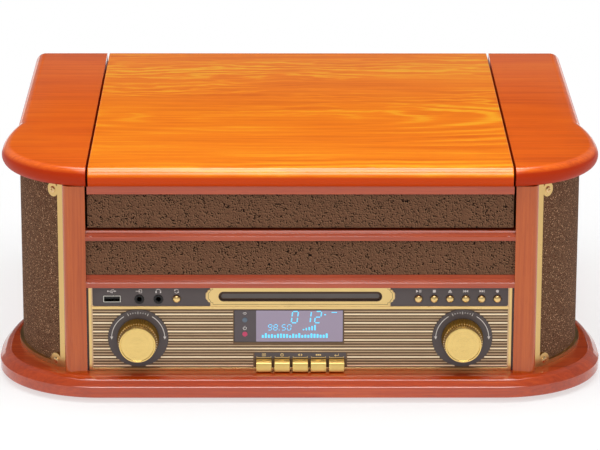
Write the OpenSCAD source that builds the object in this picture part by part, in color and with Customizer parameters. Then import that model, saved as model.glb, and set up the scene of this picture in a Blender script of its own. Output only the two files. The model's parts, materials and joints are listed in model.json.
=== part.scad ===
// Stereo music centre in a wooden case: turntable under a hinged lid, disc
// drawer, radio dial and controls in the front, a speaker in each rounded side.
// Millimetres. Origin at the bottom centre, front towards -Y, +Z up.

/* [Case] */
// Width of the front between the two posts
centre_w = 342.6; // [330:0.2:356]
// Width of each front post
post_w = 18.2; // [14:0.2:22]
// Depth of each front post
post_d = 20.8; // [16:0.2:26]
// Width over the flat side panels
case_w = 434; // [425:1:444]
// Height of the case between the base and the top boards
case_h = 156.5; // [152:0.5:170]
// Thickness of the side panels
side_t = 9; // [6:0.5:12]
// Thickness of the walls between the middle and the speaker chambers
partition_t = 8; // [6:0.5:10]
// Thickness of the back panel
back_t = 6; // [4:0.5:8]
// How far the fascia rails stand back from the front edge of the base
fascia_set_back = 15.6; // [13:0.2:18]
// How far the back panel stands in from the rear edge of the base
back_set_back = 6; // [6:0.5:10]

/* [Base] */
// Depth of the base from front to back
base_d = 392; // [388:1:400]
// Width of the base at its widest, over the rounded front corners
base_ear_w = 493; // [488:1:504]
// How far each straight side of the base stands in from the widest place
base_waist_in = 12.5; // [9:0.5:16]
// Thickness of the base
base_t = 16.1; // [14:0.1:22]
// Height of the sloping shoulder along the top edge of the base
base_shoulder_h = 6.2; // [4:0.1:7]
// How far the shoulder of the base slopes in
base_shoulder_in = 5; // [3:0.1:7]
// Radius of the front corners of the base
base_corner_r = 85; // [80:1:90]
// Height of the rubber feet
foot_h = 4; // [3:0.5:8]
// Radius of the rubber feet
foot_r = 13; // [8:1:18]

/* [Top boards] */
// Thickness of the lid board and of the wing boards
board_t = 16.5; // [12:0.5:20]
// Width over the rounded front corners of the wing boards
board_ear_w = 483.5; // [478:0.5:487]
// How far each straight side of the wing boards stands in from the widest place
board_waist_in = 8; // [5:0.25:13]
// Radius of the front corners of the wing boards
board_corner_r = 78; // [74:1:82]
// Overhang of the top boards in front of the fascia
board_overhang = 7; // [4:0.5:8]
// Overhang of the top boards behind the back panel
board_rear_overhang = 4.6; // [3:0.2:6]
// Gap between the lid and each wing board
lid_gap = 1.8; // [1:0.1:3]

/* [Fascia] */
// Height of the control panel above the base
panel_h = 71.9; // [71:0.1:75]
// Thickness of the control panel
panel_t = 3; // [2:0.5:4]
// How far the control panel stands back from the rails
panel_set_back = 6.9; // [4:0.1:9]
// Height of the lower, moulded rail
lower_rail_h = 10.1; // [8:0.1:13]
// Height of the lower strip of cloth
fascia_cloth_h = 29.4; // [24:0.2:32]
// Height of the middle rail under the lid
mid_rail_h = 7.6; // [6:0.1:9]
// Gap between the middle rail and the closed lid
lid_seam = 2.3; // [1.5:0.1:3]
// How far the cloth stands back from the rails
cloth_set_back = 3; // [1:0.5:4]
// Thickness of the cloth with its backing strip
cloth_t = 3; // [2:0.5:4]
// Height of the wooden strip that closes the lid above its cloth
lid_strip_h = 6.4; // [4:0.2:8]
// Thickness of the lid's side walls
lid_wall_t = 6; // [4:0.5:7]

/* [Speaker grilles] */
// Outer radius of the curved grilles
grille_r = 102.2; // [100:0.2:105]
// Thickness of the grilles
grille_t = 3; // [2:0.5:4]
// How far inside the post's inner face the centre of the curve lies
grille_inset = 44.3; // [43:0.1:46]
// How far behind the front of the posts the centre of the curve lies
grille_back = 97.4; // [95:0.2:100]
// Angle at which the grille meets the side panel
grille_to = 30; // [27:0.5:32]
// Thickness of the brass grille frame
trim_t = 3; // [1:0.2:4]
// Width of the upright strips of the brass frame, in degrees of the curve
trim_angle = 3.2; // [2.5:0.1:5]
// Height of the brass frame's top and bottom strips
trim_h = 3; // [2:0.1:4]
// Radius of the lobes that hold the frame's screws
lobe_r = 5.8; // [5:0.1:7]
// Radius of the screw heads
screw_r = 2.6; // [2:0.1:3.5]
// Radius of the speaker basket
speaker_r = 38; // [30:0.5:38]

/* [Controls] */
// Distance of each knob from the middle of the front
knob_x = 130.4; // [126:0.2:136]
// Height of the knobs above the base
knob_h = 27.8; // [26:0.2:34]
// Radius of the fluted skirt of the knobs
knob_skirt_r = 17; // [15:0.5:19]
// Radius of the smooth cap of the knobs
knob_cap_r = 14.8; // [12:0.2:16]
// Length of the knobs
knob_l = 18; // [14:0.5:22]
// Number of flutes round a knob
knob_flutes = 60; // [36:4:72]
// Radius of the dial plate behind each knob
dial_r = 24; // [21:0.5:24]
// Radius of the round push buttons
button_r = 3; // [2.5:0.1:3.6]
// Distance between neighbouring push buttons
button_pitch = 12.66; // [12:0.02:13]
// How far the buttons and keys travel when pressed
press = 1; // [0.5:0.1:1.2]
// Width of a bar key
key_w = 12.4; // [10:0.2:13]
// Distance between neighbouring bar keys
key_pitch = 14.65; // [14.3:0.05:15]
// Height of a bar key
key_h = 9; // [7:0.2:9.2]
// Width of the display window
window_w = 88; // [80:0.5:92]
// Height of the display window
window_h = 27.3; // [24:0.1:28]
// Distance of the display's middle to the left of the front's middle
window_x = 9.35; // [5:0.05:12]
// Radius of a headphone jack's hole, for 3.5 mm plugs
jack_r = 1.8; // [1.75:0.01:2]

/* [Disc drawer] */
// Width of the drawer slot
slot_w = 130; // [126:0.5:136]
// Height of the drawer slot
slot_h = 6.9; // [6.6:0.1:7.6]
// Height of the middle of the upper control row above the base
row_h = 62.8; // [62:0.1:64]
// Length of the disc tray
tray_l = 138; // [134:1:142]
// How far the tray slides out
tray_travel = 115; // [100:1:118]

/* [Turntable] */
// Radius of the platter
platter_r = 100; // [90:1:108]
// Height of the platter's top above the deck
platter_rise = 11; // [10:0.5:14]
// Thickness of the rubber mat
mat_t = 2; // [1:0.5:3]
// Radius of the centre spindle, for a standard record hole
spindle_r = 3.55; // [3.5:0.01:3.6]
// Length of the tonearm from its pivot to the end of the head
arm_l = 202; // [195:1:206]
// Radius of the tonearm tube
arm_r = 4; // [3:0.1:4.5]

/* [Hidden] */
$fn = 64;

wood = [0.74, 0.36, 0.14];
dark_wood = [0.6, 0.27, 0.13];
cloth_colour = [0.36, 0.27, 0.19];
brass_colour = [0.83, 0.71, 0.45];
black = [0.1, 0.1, 0.11];
grey = [0.33, 0.3, 0.3];
steel = [0.7, 0.71, 0.73];

// Clearances
wing_lap = 1;        // of each wing board over the lid's opening
frame_gap = 0.7;     // between the lid's frame and the wing boards
slip = 0.3;          // between a moving piece and its neighbour
running = 0.05;      // radial, shaft in its bearing
cut = 1;             // overrun of a cutting tool past a face

// Levels, from the table up
base_top = foot_h + base_t;
case_top = base_top + case_h;
total_h = case_top + board_t;
panel_top = base_top + panel_h;
lower_rail_top = panel_top + lower_rail_h;
cloth_top = lower_rail_top + fascia_cloth_h;
mid_rail_top = cloth_top + mid_rail_h;
lid_bottom = mid_rail_top + lid_seam;

// Front to back
base_front = -base_d / 2;
fascia_y = base_front + fascia_set_back;
panel_y = fascia_y + panel_set_back;
cloth_y = fascia_y + cloth_set_back;
rail_back = fascia_y + post_d;
back_y = base_d / 2 - back_set_back;
back_in = back_y - back_t;
board_front = fascia_y - board_overhang;
board_back = back_y + board_rear_overhang;

// Side to side
half_w = centre_w / 2;
side_in = case_w / 2 - side_t;
wing_in = half_w - wing_lap;
lid_half = wing_in - frame_gap;
lid_in = lid_half - lid_wall_t;

// Curve of a grille
grille_x = half_w - grille_inset;
grille_y = fascia_y + grille_back;
side_front = grille_y + grille_r * sin(grille_to);
grille_in = grille_r - grille_t;
trim_r = grille_r + trim_t;
grille_from = -acos((grille_inset + post_w) / trim_r);
grille_end = grille_to + 2;

// Outlines of the boards: the long curve behind each rounded front corner,
// and the small hollow curve that leads it into the straight side
ear_side_r = 220;
ear_hollow_r = 8;
ear_run = 6;
base_ear_run = 12.6;
back_corner_r = 9;
board_steps = 8;

function arc(cx, cy, r, from, to, n) =
    [for (i = [0:n]) let (a = from + (to - from) * i / n) [cx + r * cos(a), cy + r * sin(a)]];

// Right half of a board's outline, front to back, drawn in by inset all round
function board_half(x0, front, ear, waist_in, corner, run, back, inset) =
    let (
        waist = ear - waist_in,
        cx = ear - corner,
        cy = front + corner,
        sx = ear - ear_side_r,
        sy = cy + run,
        hx = waist + ear_hollow_r,
        reach = ear_side_r + ear_hollow_r,
        rise = sqrt(reach * reach - (hx - sx) * (hx - sx)),
        tip = atan2(rise, hx - sx),
        bx = waist - back_corner_r,
        by = back - back_corner_r,
        start = x0 > cx ? -acos((x0 - cx) / (corner - inset)) : -90
    )
    concat(
        arc(cx, cy, corner - inset, start, 0, 18),
        arc(sx, sy, ear_side_r - inset, 0, tip, 10),
        arc(hx, sy + rise, ear_hollow_r + inset, 180 + tip, 180, 3),
        arc(bx, by, back_corner_r - inset, 0, 90, 5),
        x0 > cx ? [[x0, back - inset]] : []
    );

function top_half(inset) = board_half(wing_in, board_front, board_ear_w / 2,
    board_waist_in, board_corner_r, ear_run, board_back, inset);

function base_half(inset) = board_half(0, base_front, base_ear_w / 2,
    base_waist_in, base_corner_r, base_ear_run, base_d / 2, inset);

function mirrored(points) = [for (i = [len(points) - 1:-1:0]) [-points[i].x, points[i].y]];

// Solid through a stack of rings with the same number of points
module loft(rings, levels) {
    n = len(rings[0]);
    last = len(rings) - 1;
    points = [for (k = [0:last]) for (p = rings[k]) [p.x, p.y, levels[k]]];
    sides = [for (k = [0:last - 1]) for (i = [0:n - 1])
        [k * n + i, (k + 1) * n + i, (k + 1) * n + (i + 1) % n, k * n + (i + 1) % n]];
    faces = concat(sides, [[for (i = [0:n - 1]) i]], [[for (i = [n - 1:-1:0]) last * n + i]]);
    polyhedron(points, faces);
}

module both_sides() {
    children();
    mirror([1, 0, 0]) children();
}

// Turns a plate drawn in X and Z to stand in the front, its back at y
module upright(y, t) {
    translate([0, y, 0]) rotate([90, 0, 0]) linear_extrude(t) children();
}

// Runs a profile drawn in Y and Z along X
module along_x(from, to) {
    translate([from, 0, 0]) rotate([90, 0, 90]) linear_extrude(to - from) children();
}

module rod_y(x, z, r, from, to) {
    translate([x, to, z]) rotate([90, 0, 0]) cylinder(r = r, h = to - from);
}

module rod_x(y, z, r, from, to) {
    translate([from, y, z]) rotate([0, 90, 0]) cylinder(r = r, h = to - from);
}

module box(low, high) {
    translate(low) cube(high - low);
}

module slab(w, h, x = 0, z = 0) {
    translate([x, z]) square([w, h], center = true);
}

// ---- Case ----

module base_plate() {
    shoulder = [[0, 0], [0.02, 0.07], [0.08, 0.13], [0.86, 0.9], [0.92, 0.97], [1, 1]];
    insets = concat([1.5, 0], [for (p = shoulder) base_shoulder_in * p.x]);
    levels = concat([foot_h, foot_h + 1.5],
        [for (p = shoulder) base_top - base_shoulder_h * (1 - p.y)]);
    rings = [for (i = insets) let (h = base_half(i)) concat(h, mirrored(h))];
    color(wood) loft(rings, levels);
}

foot_x = case_w / 2 - 32;
foot_y = base_d / 2 - 40;

module rubber_feet() {
    color(black) for (x = [-foot_x, foot_x], y = [-foot_y, foot_y])
        translate([x, y, 0]) rotate_extrude()
            polygon([[0, 0], [foot_r - 1, 0], [foot_r, 1], [foot_r, foot_h], [0, foot_h]]);
}

module wing_boards() {
    r = board_t / 2;
    angles = [for (k = [0:board_steps]) -90 + 180 * k / board_steps];
    rings = [for (a = angles) top_half(r * (1 - cos(a)))];
    levels = [for (a = angles) case_top + r + r * sin(a)];
    color(wood) both_sides() loft(rings, levels);
}

module front_posts() {
    r = post_w / 3;
    color(dark_wood) both_sides() translate([half_w, fascia_y, base_top])
        linear_extrude(case_h) {
            square([post_w - r, post_d]);
            translate([0, r]) square([post_w, post_d - r]);
            translate([post_w - r, r]) circle(r);
        }
}

module side_panels() {
    color(wood) both_sides() box([side_in, side_front, base_top], [case_w / 2, back_y, case_top]);
}

module partition_walls() {
    color([0.5, 0.42, 0.32]) both_sides()
        box([half_w, rail_back, base_top], [half_w + partition_t, back_in, case_top]);
}

vent_w = 4;
vent_l = 26;
vent_pitch = 10;
vent_count = 9;
vent_z = base_top + 92;
line_out_x = -60;
line_out_pitch = 18;
aerial_x = -110;
rear_z = base_top + 32;
gland_x = 150;
gland_z = base_top + 22;
socket_r = 4.2;
gland_r = 6.5;

module back_panel() {
    shoulder_x = half_w;
    color([0.16, 0.13, 0.11]) upright(back_y, back_t) difference() {
        polygon([
            [-side_in, base_top], [side_in, base_top], [side_in, case_top],
            [shoulder_x, case_top], [shoulder_x, mid_rail_top], [-shoulder_x, mid_rail_top],
            [-shoulder_x, case_top], [-side_in, case_top]
        ]);
        for (i = [0:vent_count - 1])
            slab(vent_w, vent_l, (i - (vent_count - 1) / 2) * vent_pitch, vent_z);
        for (x = [line_out_x, line_out_x + line_out_pitch, aerial_x])
            translate([x, rear_z]) circle(socket_r);
        translate([gland_x, gland_z]) circle(gland_r);
    }
}

// Profile of a rail: flat front band, round nose, and a face that slopes back above it
function rail_profile(low, high, band, nose_r, slope_in) = concat(
    [[rail_back, low], [fascia_y, low]],
    [for (a = [180:-15:120]) [fascia_y + nose_r + nose_r * cos(a), low + band + nose_r * sin(a)]],
    [[fascia_y + slope_in, high], [rail_back, high]]
);

// Middle rail, and the lower rail with a second, thinner moulding on top
module fascia_rails() {
    nose_r = 1;
    sill_h = 4.6;
    color(dark_wood) along_x(-half_w, half_w) {
        polygon(rail_profile(cloth_top, mid_rail_top, 3.4, nose_r, 3));
        polygon(rail_profile(panel_top, lower_rail_top - sill_h, 3.4, nose_r, 1.4));
        translate([1.2, 0]) polygon(rail_profile(lower_rail_top - sill_h - cut, lower_rail_top, 2, nose_r, 2));
    }
}

module fascia_cloth() {
    color(cloth_colour) box([-half_w, cloth_y, lower_rail_top], [half_w, rail_back - 6, cloth_top]);
}

// ---- Speakers ----

module curved_wall(r_in, r_out, from, to, low, high) {
    translate([grille_x, grille_y, low]) rotate([0, 0, from])
        rotate_extrude(angle = to - from) translate([r_in, 0]) square([r_out - r_in, high - low]);
}

module on_curve(angle, z) {
    translate([grille_x, grille_y, z]) rotate([0, 0, angle]) rotate([0, 90, 0]) children();
}

// What is left of a curved piece between the post and the side panel that it meets
module beside_post() {
    difference() {
        children();
        box([half_w, fascia_y, base_top - cut], [half_w + post_w, rail_back, case_top + cut]);
        box([half_w, side_front, base_top - cut], [case_w / 2 + trim_t, back_y, case_top + cut]);
    }
}

module speaker_grilles() {
    color(cloth_colour) both_sides() beside_post()
        curved_wall(grille_in, grille_r, grille_from, grille_end, base_top, case_top);
}

lobe_in = 5.85;
lobe_rise = 4.6;
lobe_drop = 8;
lobe_angles = [grille_from + lobe_in, grille_to - lobe_in];
lobe_levels = [base_top + lobe_rise, case_top - lobe_drop];

module grille_trims() {
    color(brass_colour) both_sides() beside_post() difference() {
        curved_wall(grille_r, trim_r, grille_from, grille_end, base_top, case_top);
        difference() {
            curved_wall(grille_r - cut, trim_r + cut, grille_from + trim_angle, grille_to - trim_angle,
                base_top + trim_h, case_top - trim_h);
            for (a = lobe_angles, z = lobe_levels)
                on_curve(a, z) translate([0, 0, grille_r - 5]) cylinder(r = lobe_r, h = 10);
        }
    }
}

module grille_screws() {
    head_h = 1;
    color(brass_colour) both_sides() for (a = lobe_angles, z = lobe_levels)
        on_curve(a, z) translate([0, 0, trim_r]) rotate_extrude()
            polygon([[0, 0], [screw_r, 0], [screw_r, head_h / 2], [screw_r - head_h / 2, head_h],
                [0, head_h]]);
}

speaker_angle = (grille_from + grille_to) / 2;
speaker_z = base_top + case_h / 2;
baffle_r = grille_r - 18;
baffle_t = 6;
baffle_half = sqrt(grille_in * grille_in - (baffle_r + baffle_t) * (baffle_r + baffle_t));

module baffle_place() {
    both_sides() translate([grille_x, grille_y, speaker_z]) rotate([0, 0, speaker_angle])
        rotate([0, 90, 0]) children();
}

module speaker_baffles() {
    color([0.5, 0.42, 0.32]) baffle_place() difference() {
        translate([-case_h / 2, -baffle_half, baffle_r]) cube([case_h, 2 * baffle_half, baffle_t]);
        translate([0, 0, baffle_r - cut]) cylinder(r = speaker_r - 4, h = baffle_t + 2 * cut);
    }
}

// Basket with its magnet behind, screwed to the outside of the baffle
module speaker_drivers() {
    face = baffle_r + baffle_t;
    color(grey) baffle_place() translate([0, 0, face]) rotate_extrude() polygon([
        [0, -28], [17, -28], [17, -18], [18, -18], [speaker_r - 5, 0], [speaker_r, 0],
        [speaker_r, 1.5], [speaker_r - 6, 1.5], [14, -14], [0, -14]
    ]);
}

module speaker_cones() {
    face = baffle_r + baffle_t;
    color(black) baffle_place() translate([0, 0, face]) rotate_extrude() polygon([
        [0, -9.5], [8, -11.5], [speaker_r - 9, 0.4], [speaker_r - 8, 1.5],
        [speaker_r - 6, 1.5], [14, -14], [0, -14]
    ]);
}

// ---- Lid ----

module lid_board() {
    r = board_t / 2;
    half = wing_in - lid_gap;
    color(wood) along_x(-half, half) translate([0, case_top + r]) {
        translate([board_front + r, 0]) circle(r);
        translate([board_back - r, 0]) circle(r);
        translate([board_front + r, -r]) square([board_back - board_front - board_t, board_t]);
    }
}

lid_front_in = cloth_y + cloth_t + 8;
lid_cloth_top = case_top - lid_strip_h;

// Four walls under the lid board; the front one carries the cloth in a rebate
module lid_frame() {
    color(dark_wood) difference() {
        box([-lid_half, fascia_y, lid_bottom], [lid_half, back_y, case_top]);
        box([-lid_in, lid_front_in, lid_bottom - cut], [lid_in, back_in, case_top + cut]);
        box([-lid_half - cut, fascia_y - cut, lid_bottom - cut],
            [lid_half + cut, cloth_y + cloth_t, lid_cloth_top]);
    }
}

module lid_cloth() {
    color(cloth_colour) box([-lid_half, cloth_y, lid_bottom], [lid_half, cloth_y + cloth_t, lid_cloth_top]);
}

hinge_x = 110;
leaf_t = 1.2;
leaf_w = 40;
leaf_h = 20;
knuckle_r = 2.6;
pin_r = 1.2;
hinge_y = back_y + knuckle_r;
hinge_z = mid_rail_top + lid_seam / 2;
middle_w = leaf_w / 3;

module leaf(low, high) {
    box([-leaf_w / 2, back_y, low], [leaf_w / 2, back_y + leaf_t, high]);
}

module knuckle(from, to) {
    difference() {
        union() {
            rod_x(hinge_y, hinge_z, knuckle_r, from, to);
            children();
        }
        rod_x(hinge_y, hinge_z, pin_r + running, from - cut, to + cut);
    }
}

module hinge_base_leaves() {
    color(steel) for (s = [-1, 1]) translate([s * hinge_x, 0, 0]) {
        leaf(hinge_z - leaf_h, hinge_z - knuckle_r);
        for (from = [-leaf_w / 2, leaf_w / 2 - middle_w])
            knuckle(from, from + middle_w)
                box([from, back_y, hinge_z - knuckle_r - 0.5], [from + middle_w, hinge_y - pin_r, hinge_z]);
    }
}

module hinge_lid_leaves() {
    half = middle_w / 2 - slip;
    color(steel) for (s = [-1, 1]) translate([s * hinge_x, 0, 0]) {
        leaf(hinge_z + knuckle_r, hinge_z + leaf_h);
        knuckle(-half, half)
            box([-half, back_y + slip / 2, hinge_z], [half, hinge_y - pin_r, hinge_z + knuckle_r + 0.5]);
    }
}

module hinge_pins() {
    head_t = 1.2;
    color(steel) for (s = [-1, 1]) translate([s * hinge_x, 0, 0]) {
        rod_x(hinge_y, hinge_z, pin_r, -leaf_w / 2, leaf_w / 2);
        rod_x(hinge_y, hinge_z, pin_r + 0.8, leaf_w / 2, leaf_w / 2 + head_t);
        rod_x(hinge_y, hinge_z, pin_r + 0.8, -leaf_w / 2 - head_t, -leaf_w / 2);
    }
}

// ---- Turntable ----

deck_drop = 11;
deck_t = 4;
deck_top = mid_rail_top - deck_drop;
well_floor = deck_top - 8.5;
well_t = 2.5;
well_under = well_floor - well_t;
well_r = platter_r + 4;
platter_x = -12;
platter_y = 5;
platter_top = deck_top + platter_rise;
mat_top = platter_top + mat_t;
spindle_rise = 13;
bearing_r = 4;
belt_ring_r = 62;
belt_t = 1;
belt_h = 4;
belt_z = well_floor + 3.2;
pulley_r = 6;
pulley_flange = 1.5;
motor_r = 16;
motor_h = 25;
motor_shaft_r = 1;
motor_reach = platter_r - 16;
motor_angle = 135;
arm_x = 138;
arm_y = 116;
arm_z = deck_top + 24;
arm_shaft_r = 3;
arm_pin_r = 1.5;
arm_post_r = 9;
arm_socket_r = 8;
yoke_low = deck_top + 14;
cheek_in = 7;
cheek_t = 2.5;
rest_y = arm_y - 60;
switch_x = half_w - 25.3;
switch_y = rail_back + 34.6;
switch_travel = 8;
switch_stem = 5;
switch_slot_w = 4;

module at_platter() {
    translate([platter_x, platter_y, 0]) children();
}

module at_motor() {
    at_platter() translate([motor_reach * cos(motor_angle), motor_reach * sin(motor_angle), 0]) children();
}

module at_arm() {
    translate([arm_x, arm_y, 0]) children();
}

// Top plate with a round well for the platter
module deck_plate() {
    slot_l = switch_stem + switch_travel + 2 * slip;
    color(black) difference() {
        union() {
            box([-half_w, rail_back, deck_top - deck_t], [half_w, back_in, deck_top]);
            at_platter() translate([0, 0, well_under])
                cylinder(r = well_r + 3, h = deck_top - well_under - 1);
        }
        at_platter() translate([0, 0, well_floor]) cylinder(r = well_r, h = deck_top);
        at_platter() translate([0, 0, well_under - cut])
            cylinder(r = bearing_r + running, h = 2 * cut + well_t);
        at_motor() translate([0, 0, well_under - cut]) cylinder(r = 3, h = 2 * cut + well_t);
        at_arm() translate([0, 0, deck_top - deck_t - cut])
            cylinder(r = arm_socket_r + running, h = deck_t + 2 * cut);
        translate([switch_x, switch_y, deck_top]) cube([slot_l, switch_slot_w, 3 * deck_t], center = true);
    }
}

module platter() {
    bore = bearing_r + running;
    disc_low = platter_top - 6;
    rim_low = deck_top + 1;
    ring_low = well_floor + 1.8;
    color(steel) at_platter() rotate_extrude() polygon([
        [bore, well_floor + slip], [12, well_floor + slip], [12, disc_low],
        [belt_ring_r - 4, disc_low], [belt_ring_r - 4, ring_low], [belt_ring_r, ring_low],
        [belt_ring_r, disc_low], [platter_r - 6, disc_low], [platter_r - 6, rim_low],
        [platter_r - 1, rim_low], [platter_r, rim_low + 1], [platter_r, platter_top - 1],
        [platter_r - 1, platter_top], [bore, platter_top]
    ]);
}

module platter_mat() {
    mat_r = platter_r - 2;
    label_r = 50;
    bore = bearing_r + 2 * slip;
    color(black) at_platter() rotate_extrude() polygon([
        [bore, platter_top], [mat_r, platter_top], [mat_r, mat_top - 0.5], [mat_r - 0.5, mat_top],
        [label_r, mat_top], [label_r, mat_top - 0.6], [bore, mat_top - 0.6]
    ]);
}

module centre_spindle() {
    top = mat_top + spindle_rise;
    color(steel) at_platter() rotate_extrude() polygon([
        [0, well_under - 5], [9, well_under - 5], [9, well_under], [bearing_r, well_under],
        [bearing_r, mat_top], [spindle_r, mat_top], [spindle_r, top - 2], [spindle_r - 2, top], [0, top]
    ]);
}

module drive_motor() {
    color(grey) at_motor() difference() {
        translate([0, 0, well_under - motor_h]) cylinder(r = motor_r, h = motor_h);
        translate([0, 0, well_under - 12]) cylinder(r = motor_shaft_r + running, h = 12 + cut);
    }
}

module motor_pulley() {
    flange_r = pulley_r + pulley_flange;
    groove_low = belt_z - 0.5;
    groove_top = belt_z + belt_h + 0.5;
    color(brass_colour) at_motor() rotate_extrude() polygon([
        [0, well_under - 11], [motor_shaft_r, well_under - 11], [motor_shaft_r, groove_low - 1],
        [flange_r, groove_low - 1], [flange_r, groove_low], [pulley_r, groove_low],
        [pulley_r, groove_top], [flange_r, groove_top], [flange_r, groove_top + 1], [0, groove_top + 1]
    ]);
}

// Outline of a belt round two wheels, the second one at distance d along X
module belt_outline(ra, rb, d) {
    a = acos((ra - rb) / d);
    circle(ra);
    translate([d, 0]) circle(rb);
    polygon([[ra * cos(a), ra * sin(a)], [ra * cos(a), -ra * sin(a)],
        [d + rb * cos(a), -rb * sin(a)], [d + rb * cos(a), rb * sin(a)]]);
}

module drive_belt() {
    color(black) at_platter() translate([0, 0, belt_z]) rotate([0, 0, motor_angle])
        linear_extrude(belt_h) difference() {
            belt_outline(belt_ring_r + slip + belt_t, pulley_r + slip + belt_t, motor_reach);
            belt_outline(belt_ring_r + slip, pulley_r + slip, motor_reach);
        }
}

module tonearm_base() {
    bore = arm_shaft_r + running;
    color(black) at_arm() rotate_extrude() polygon([
        [bore, deck_top - deck_t - 2], [arm_socket_r, deck_top - deck_t - 2],
        [arm_socket_r, deck_top], [20, deck_top],
        [20, deck_top + 3], [18, deck_top + 5], [arm_post_r, deck_top + 5],
        [arm_post_r, yoke_low - slip], [bore, yoke_low - slip]
    ]);
}

// Fork that turns in the base and carries the arm between its cheeks
module tonearm_yoke() {
    color(grey) at_arm() {
        translate([0, 0, deck_top - deck_t]) cylinder(r = arm_shaft_r, h = yoke_low - deck_top + deck_t + 1);
        difference() {
            union() {
                translate([0, 0, yoke_low]) cylinder(r = 11, h = 3);
                for (x = [-cheek_in - cheek_t, cheek_in])
                    box([x, -4, yoke_low + 2], [x + cheek_t, 4, arm_z]);
                for (x = [-cheek_in - cheek_t, cheek_in])
                    rod_x(0, arm_z, 4, x, x + cheek_t);
            }
            rod_x(0, arm_z, arm_pin_r + running, -20, 20);
        }
    }
}

head_l = 26;
head_angle = 20;
head_t = 3;

module at_head() {
    at_arm() translate([0, -(arm_l - head_l), arm_z]) rotate([0, 0, -head_angle]) children();
}

module tonearm() {
    block = cheek_in - slip;
    color(black) {
        at_arm() {
            box([-block, -9, arm_z - 5], [block, 9, arm_z + 5]);
            rod_x(0, arm_z, arm_pin_r, -cheek_in - cheek_t, cheek_in + cheek_t);
            rod_y(0, arm_z, arm_r, -(arm_l - head_l) - 2, 10);
            rod_y(0, arm_z, 3, 8, 16);
            rod_y(0, arm_z, 8, 13, 25);
        }
        at_head() {
            translate([0, 0, -head_t]) linear_extrude(head_t)
                polygon([[-4, 3], [4, 3], [8, -8], [8, -24], [5, -27], [-5, -27], [-8, -24], [-8, -8]]);
            box([7, -22, -head_t], [15, -20, -head_t + 1.5]);
        }
    }
}

module cartridge() {
    low = -head_t - 5;
    color(grey) at_head() {
        box([-6, -24, low], [6, -7, -head_t]);
        box([-2, -25, low - 1.5], [2, -14, low]);
        translate([0, -24, low - 2.2]) cylinder(r1 = 0.2, r2 = 0.7, h = 0.8);
    }
}

// Post with a pad under the parked arm and a stop on its outer side
module arm_rest() {
    pad = arm_z - arm_r - slip;
    stop = arm_r + slip;
    color(black) translate([arm_x, 0, 0]) upright(rest_y + 3, 6) {
        polygon([[-8, deck_top], [8, deck_top], [8, deck_top + 1], [2.5, deck_top + 3], [2.5, pad - 3],
            [stop + 2.5, pad - 1], [stop + 2.5, arm_z + 2], [stop, arm_z + 2], [stop, pad], [-5, pad],
            [-5, pad - 1], [-2.5, pad - 3], [-2.5, deck_top + 3], [-8, deck_top + 1]]);
    }
}

module speed_switch() {
    x = switch_x - switch_travel / 2;
    w = switch_slot_w - 2 * slip;
    under = deck_top - deck_t - slip;
    color(steel) translate([x, switch_y, 0]) {
        translate([0, 0, deck_top + slip + 1.5]) cube([9, 7, 3], center = true);
        translate([0, 0, deck_top - 1]) cube([switch_stem, w, 10 + 2 * slip], center = true);
        translate([0, 0, under - 0.75]) cube([9, 9, 1.5], center = true);
    }
}

// ---- Control panel ----

knob_z = base_top + knob_h;
row_z = base_top + row_h;
socket_z = row_z - 2.5;
button_z = row_z - 2;
key_z = base_top + 5.3;
window_z = base_top + 37.7;
panel_back = panel_y + panel_t;
dial_t = 1.2;
bush_r = 4;
shaft_r = 3;
usb_x = -151.1;
usb_w = 13.6;
usb_h = 6.3;
jack_xs = [-129.2, -113.9];
function_x = -99.3;
first_button_x = 94.8;
key_open_w = key_w + 2 * slip;
key_open_h = key_h + 2 * slip;
board_y = panel_back + 6.5;

function key_x(i) = (i - 2) * key_pitch;
function button_x(i) = first_button_x + i * button_pitch;

// Slot with round ends
module stadium(w, h) {
    slab(w - h, h);
    for (x = [-1, 1]) translate([x * (w - h) / 2, 0]) circle(h / 2);
}

module key_openings() {
    for (i = [0:4]) slab(key_open_w, key_open_h, key_x(i), key_z);
}

module window_opening(edge) {
    slab(window_w + 2 * edge, window_h + 2 * edge, -window_x, window_z);
}

module dial_openings(r) {
    for (x = [-knob_x, knob_x]) translate([x, knob_z]) circle(r);
}

module control_panel() {
    color(grey) upright(panel_back, panel_t) difference() {
        translate([-half_w, base_top]) square([centre_w, panel_h]);
        translate([0, row_z]) stadium(slot_w, slot_h);
        dial_openings(bush_r + running);
        window_opening(0);
        key_openings();
        slab(usb_w, usb_h, usb_x, socket_z);
        for (x = jack_xs) translate([x, socket_z]) circle(3);
        translate([function_x, button_z]) circle(button_r + slip);
        for (i = [0:5]) translate([button_x(i), button_z]) circle(button_r + slip);
    }
}

striped_h = 54.5;
border_w = 3.3;
trim_half = half_w - 1.2;
sheet_t = 0.4;
rib_pitch = 2.42;
rib_first = 4.2;
rib_count = 20;
plate_half = 72.4;
plate_tip = 76;

module ribs(low, wide) {
    difference() {
        for (i = [0:rib_count - 1]) if ((i % 3 == 0) == wide) {
            z = base_top + rib_first + i * rib_pitch;
            slab(2 * (trim_half - border_w), wide ? 1.2 : 0.6, 0, z);
        }
        dial_openings(dial_r + slip);
        window_opening(3);
        translate([-key_pitch * 2.6, base_top - cut]) square([key_pitch * 5.2, low + cut]);
    }
}

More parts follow.
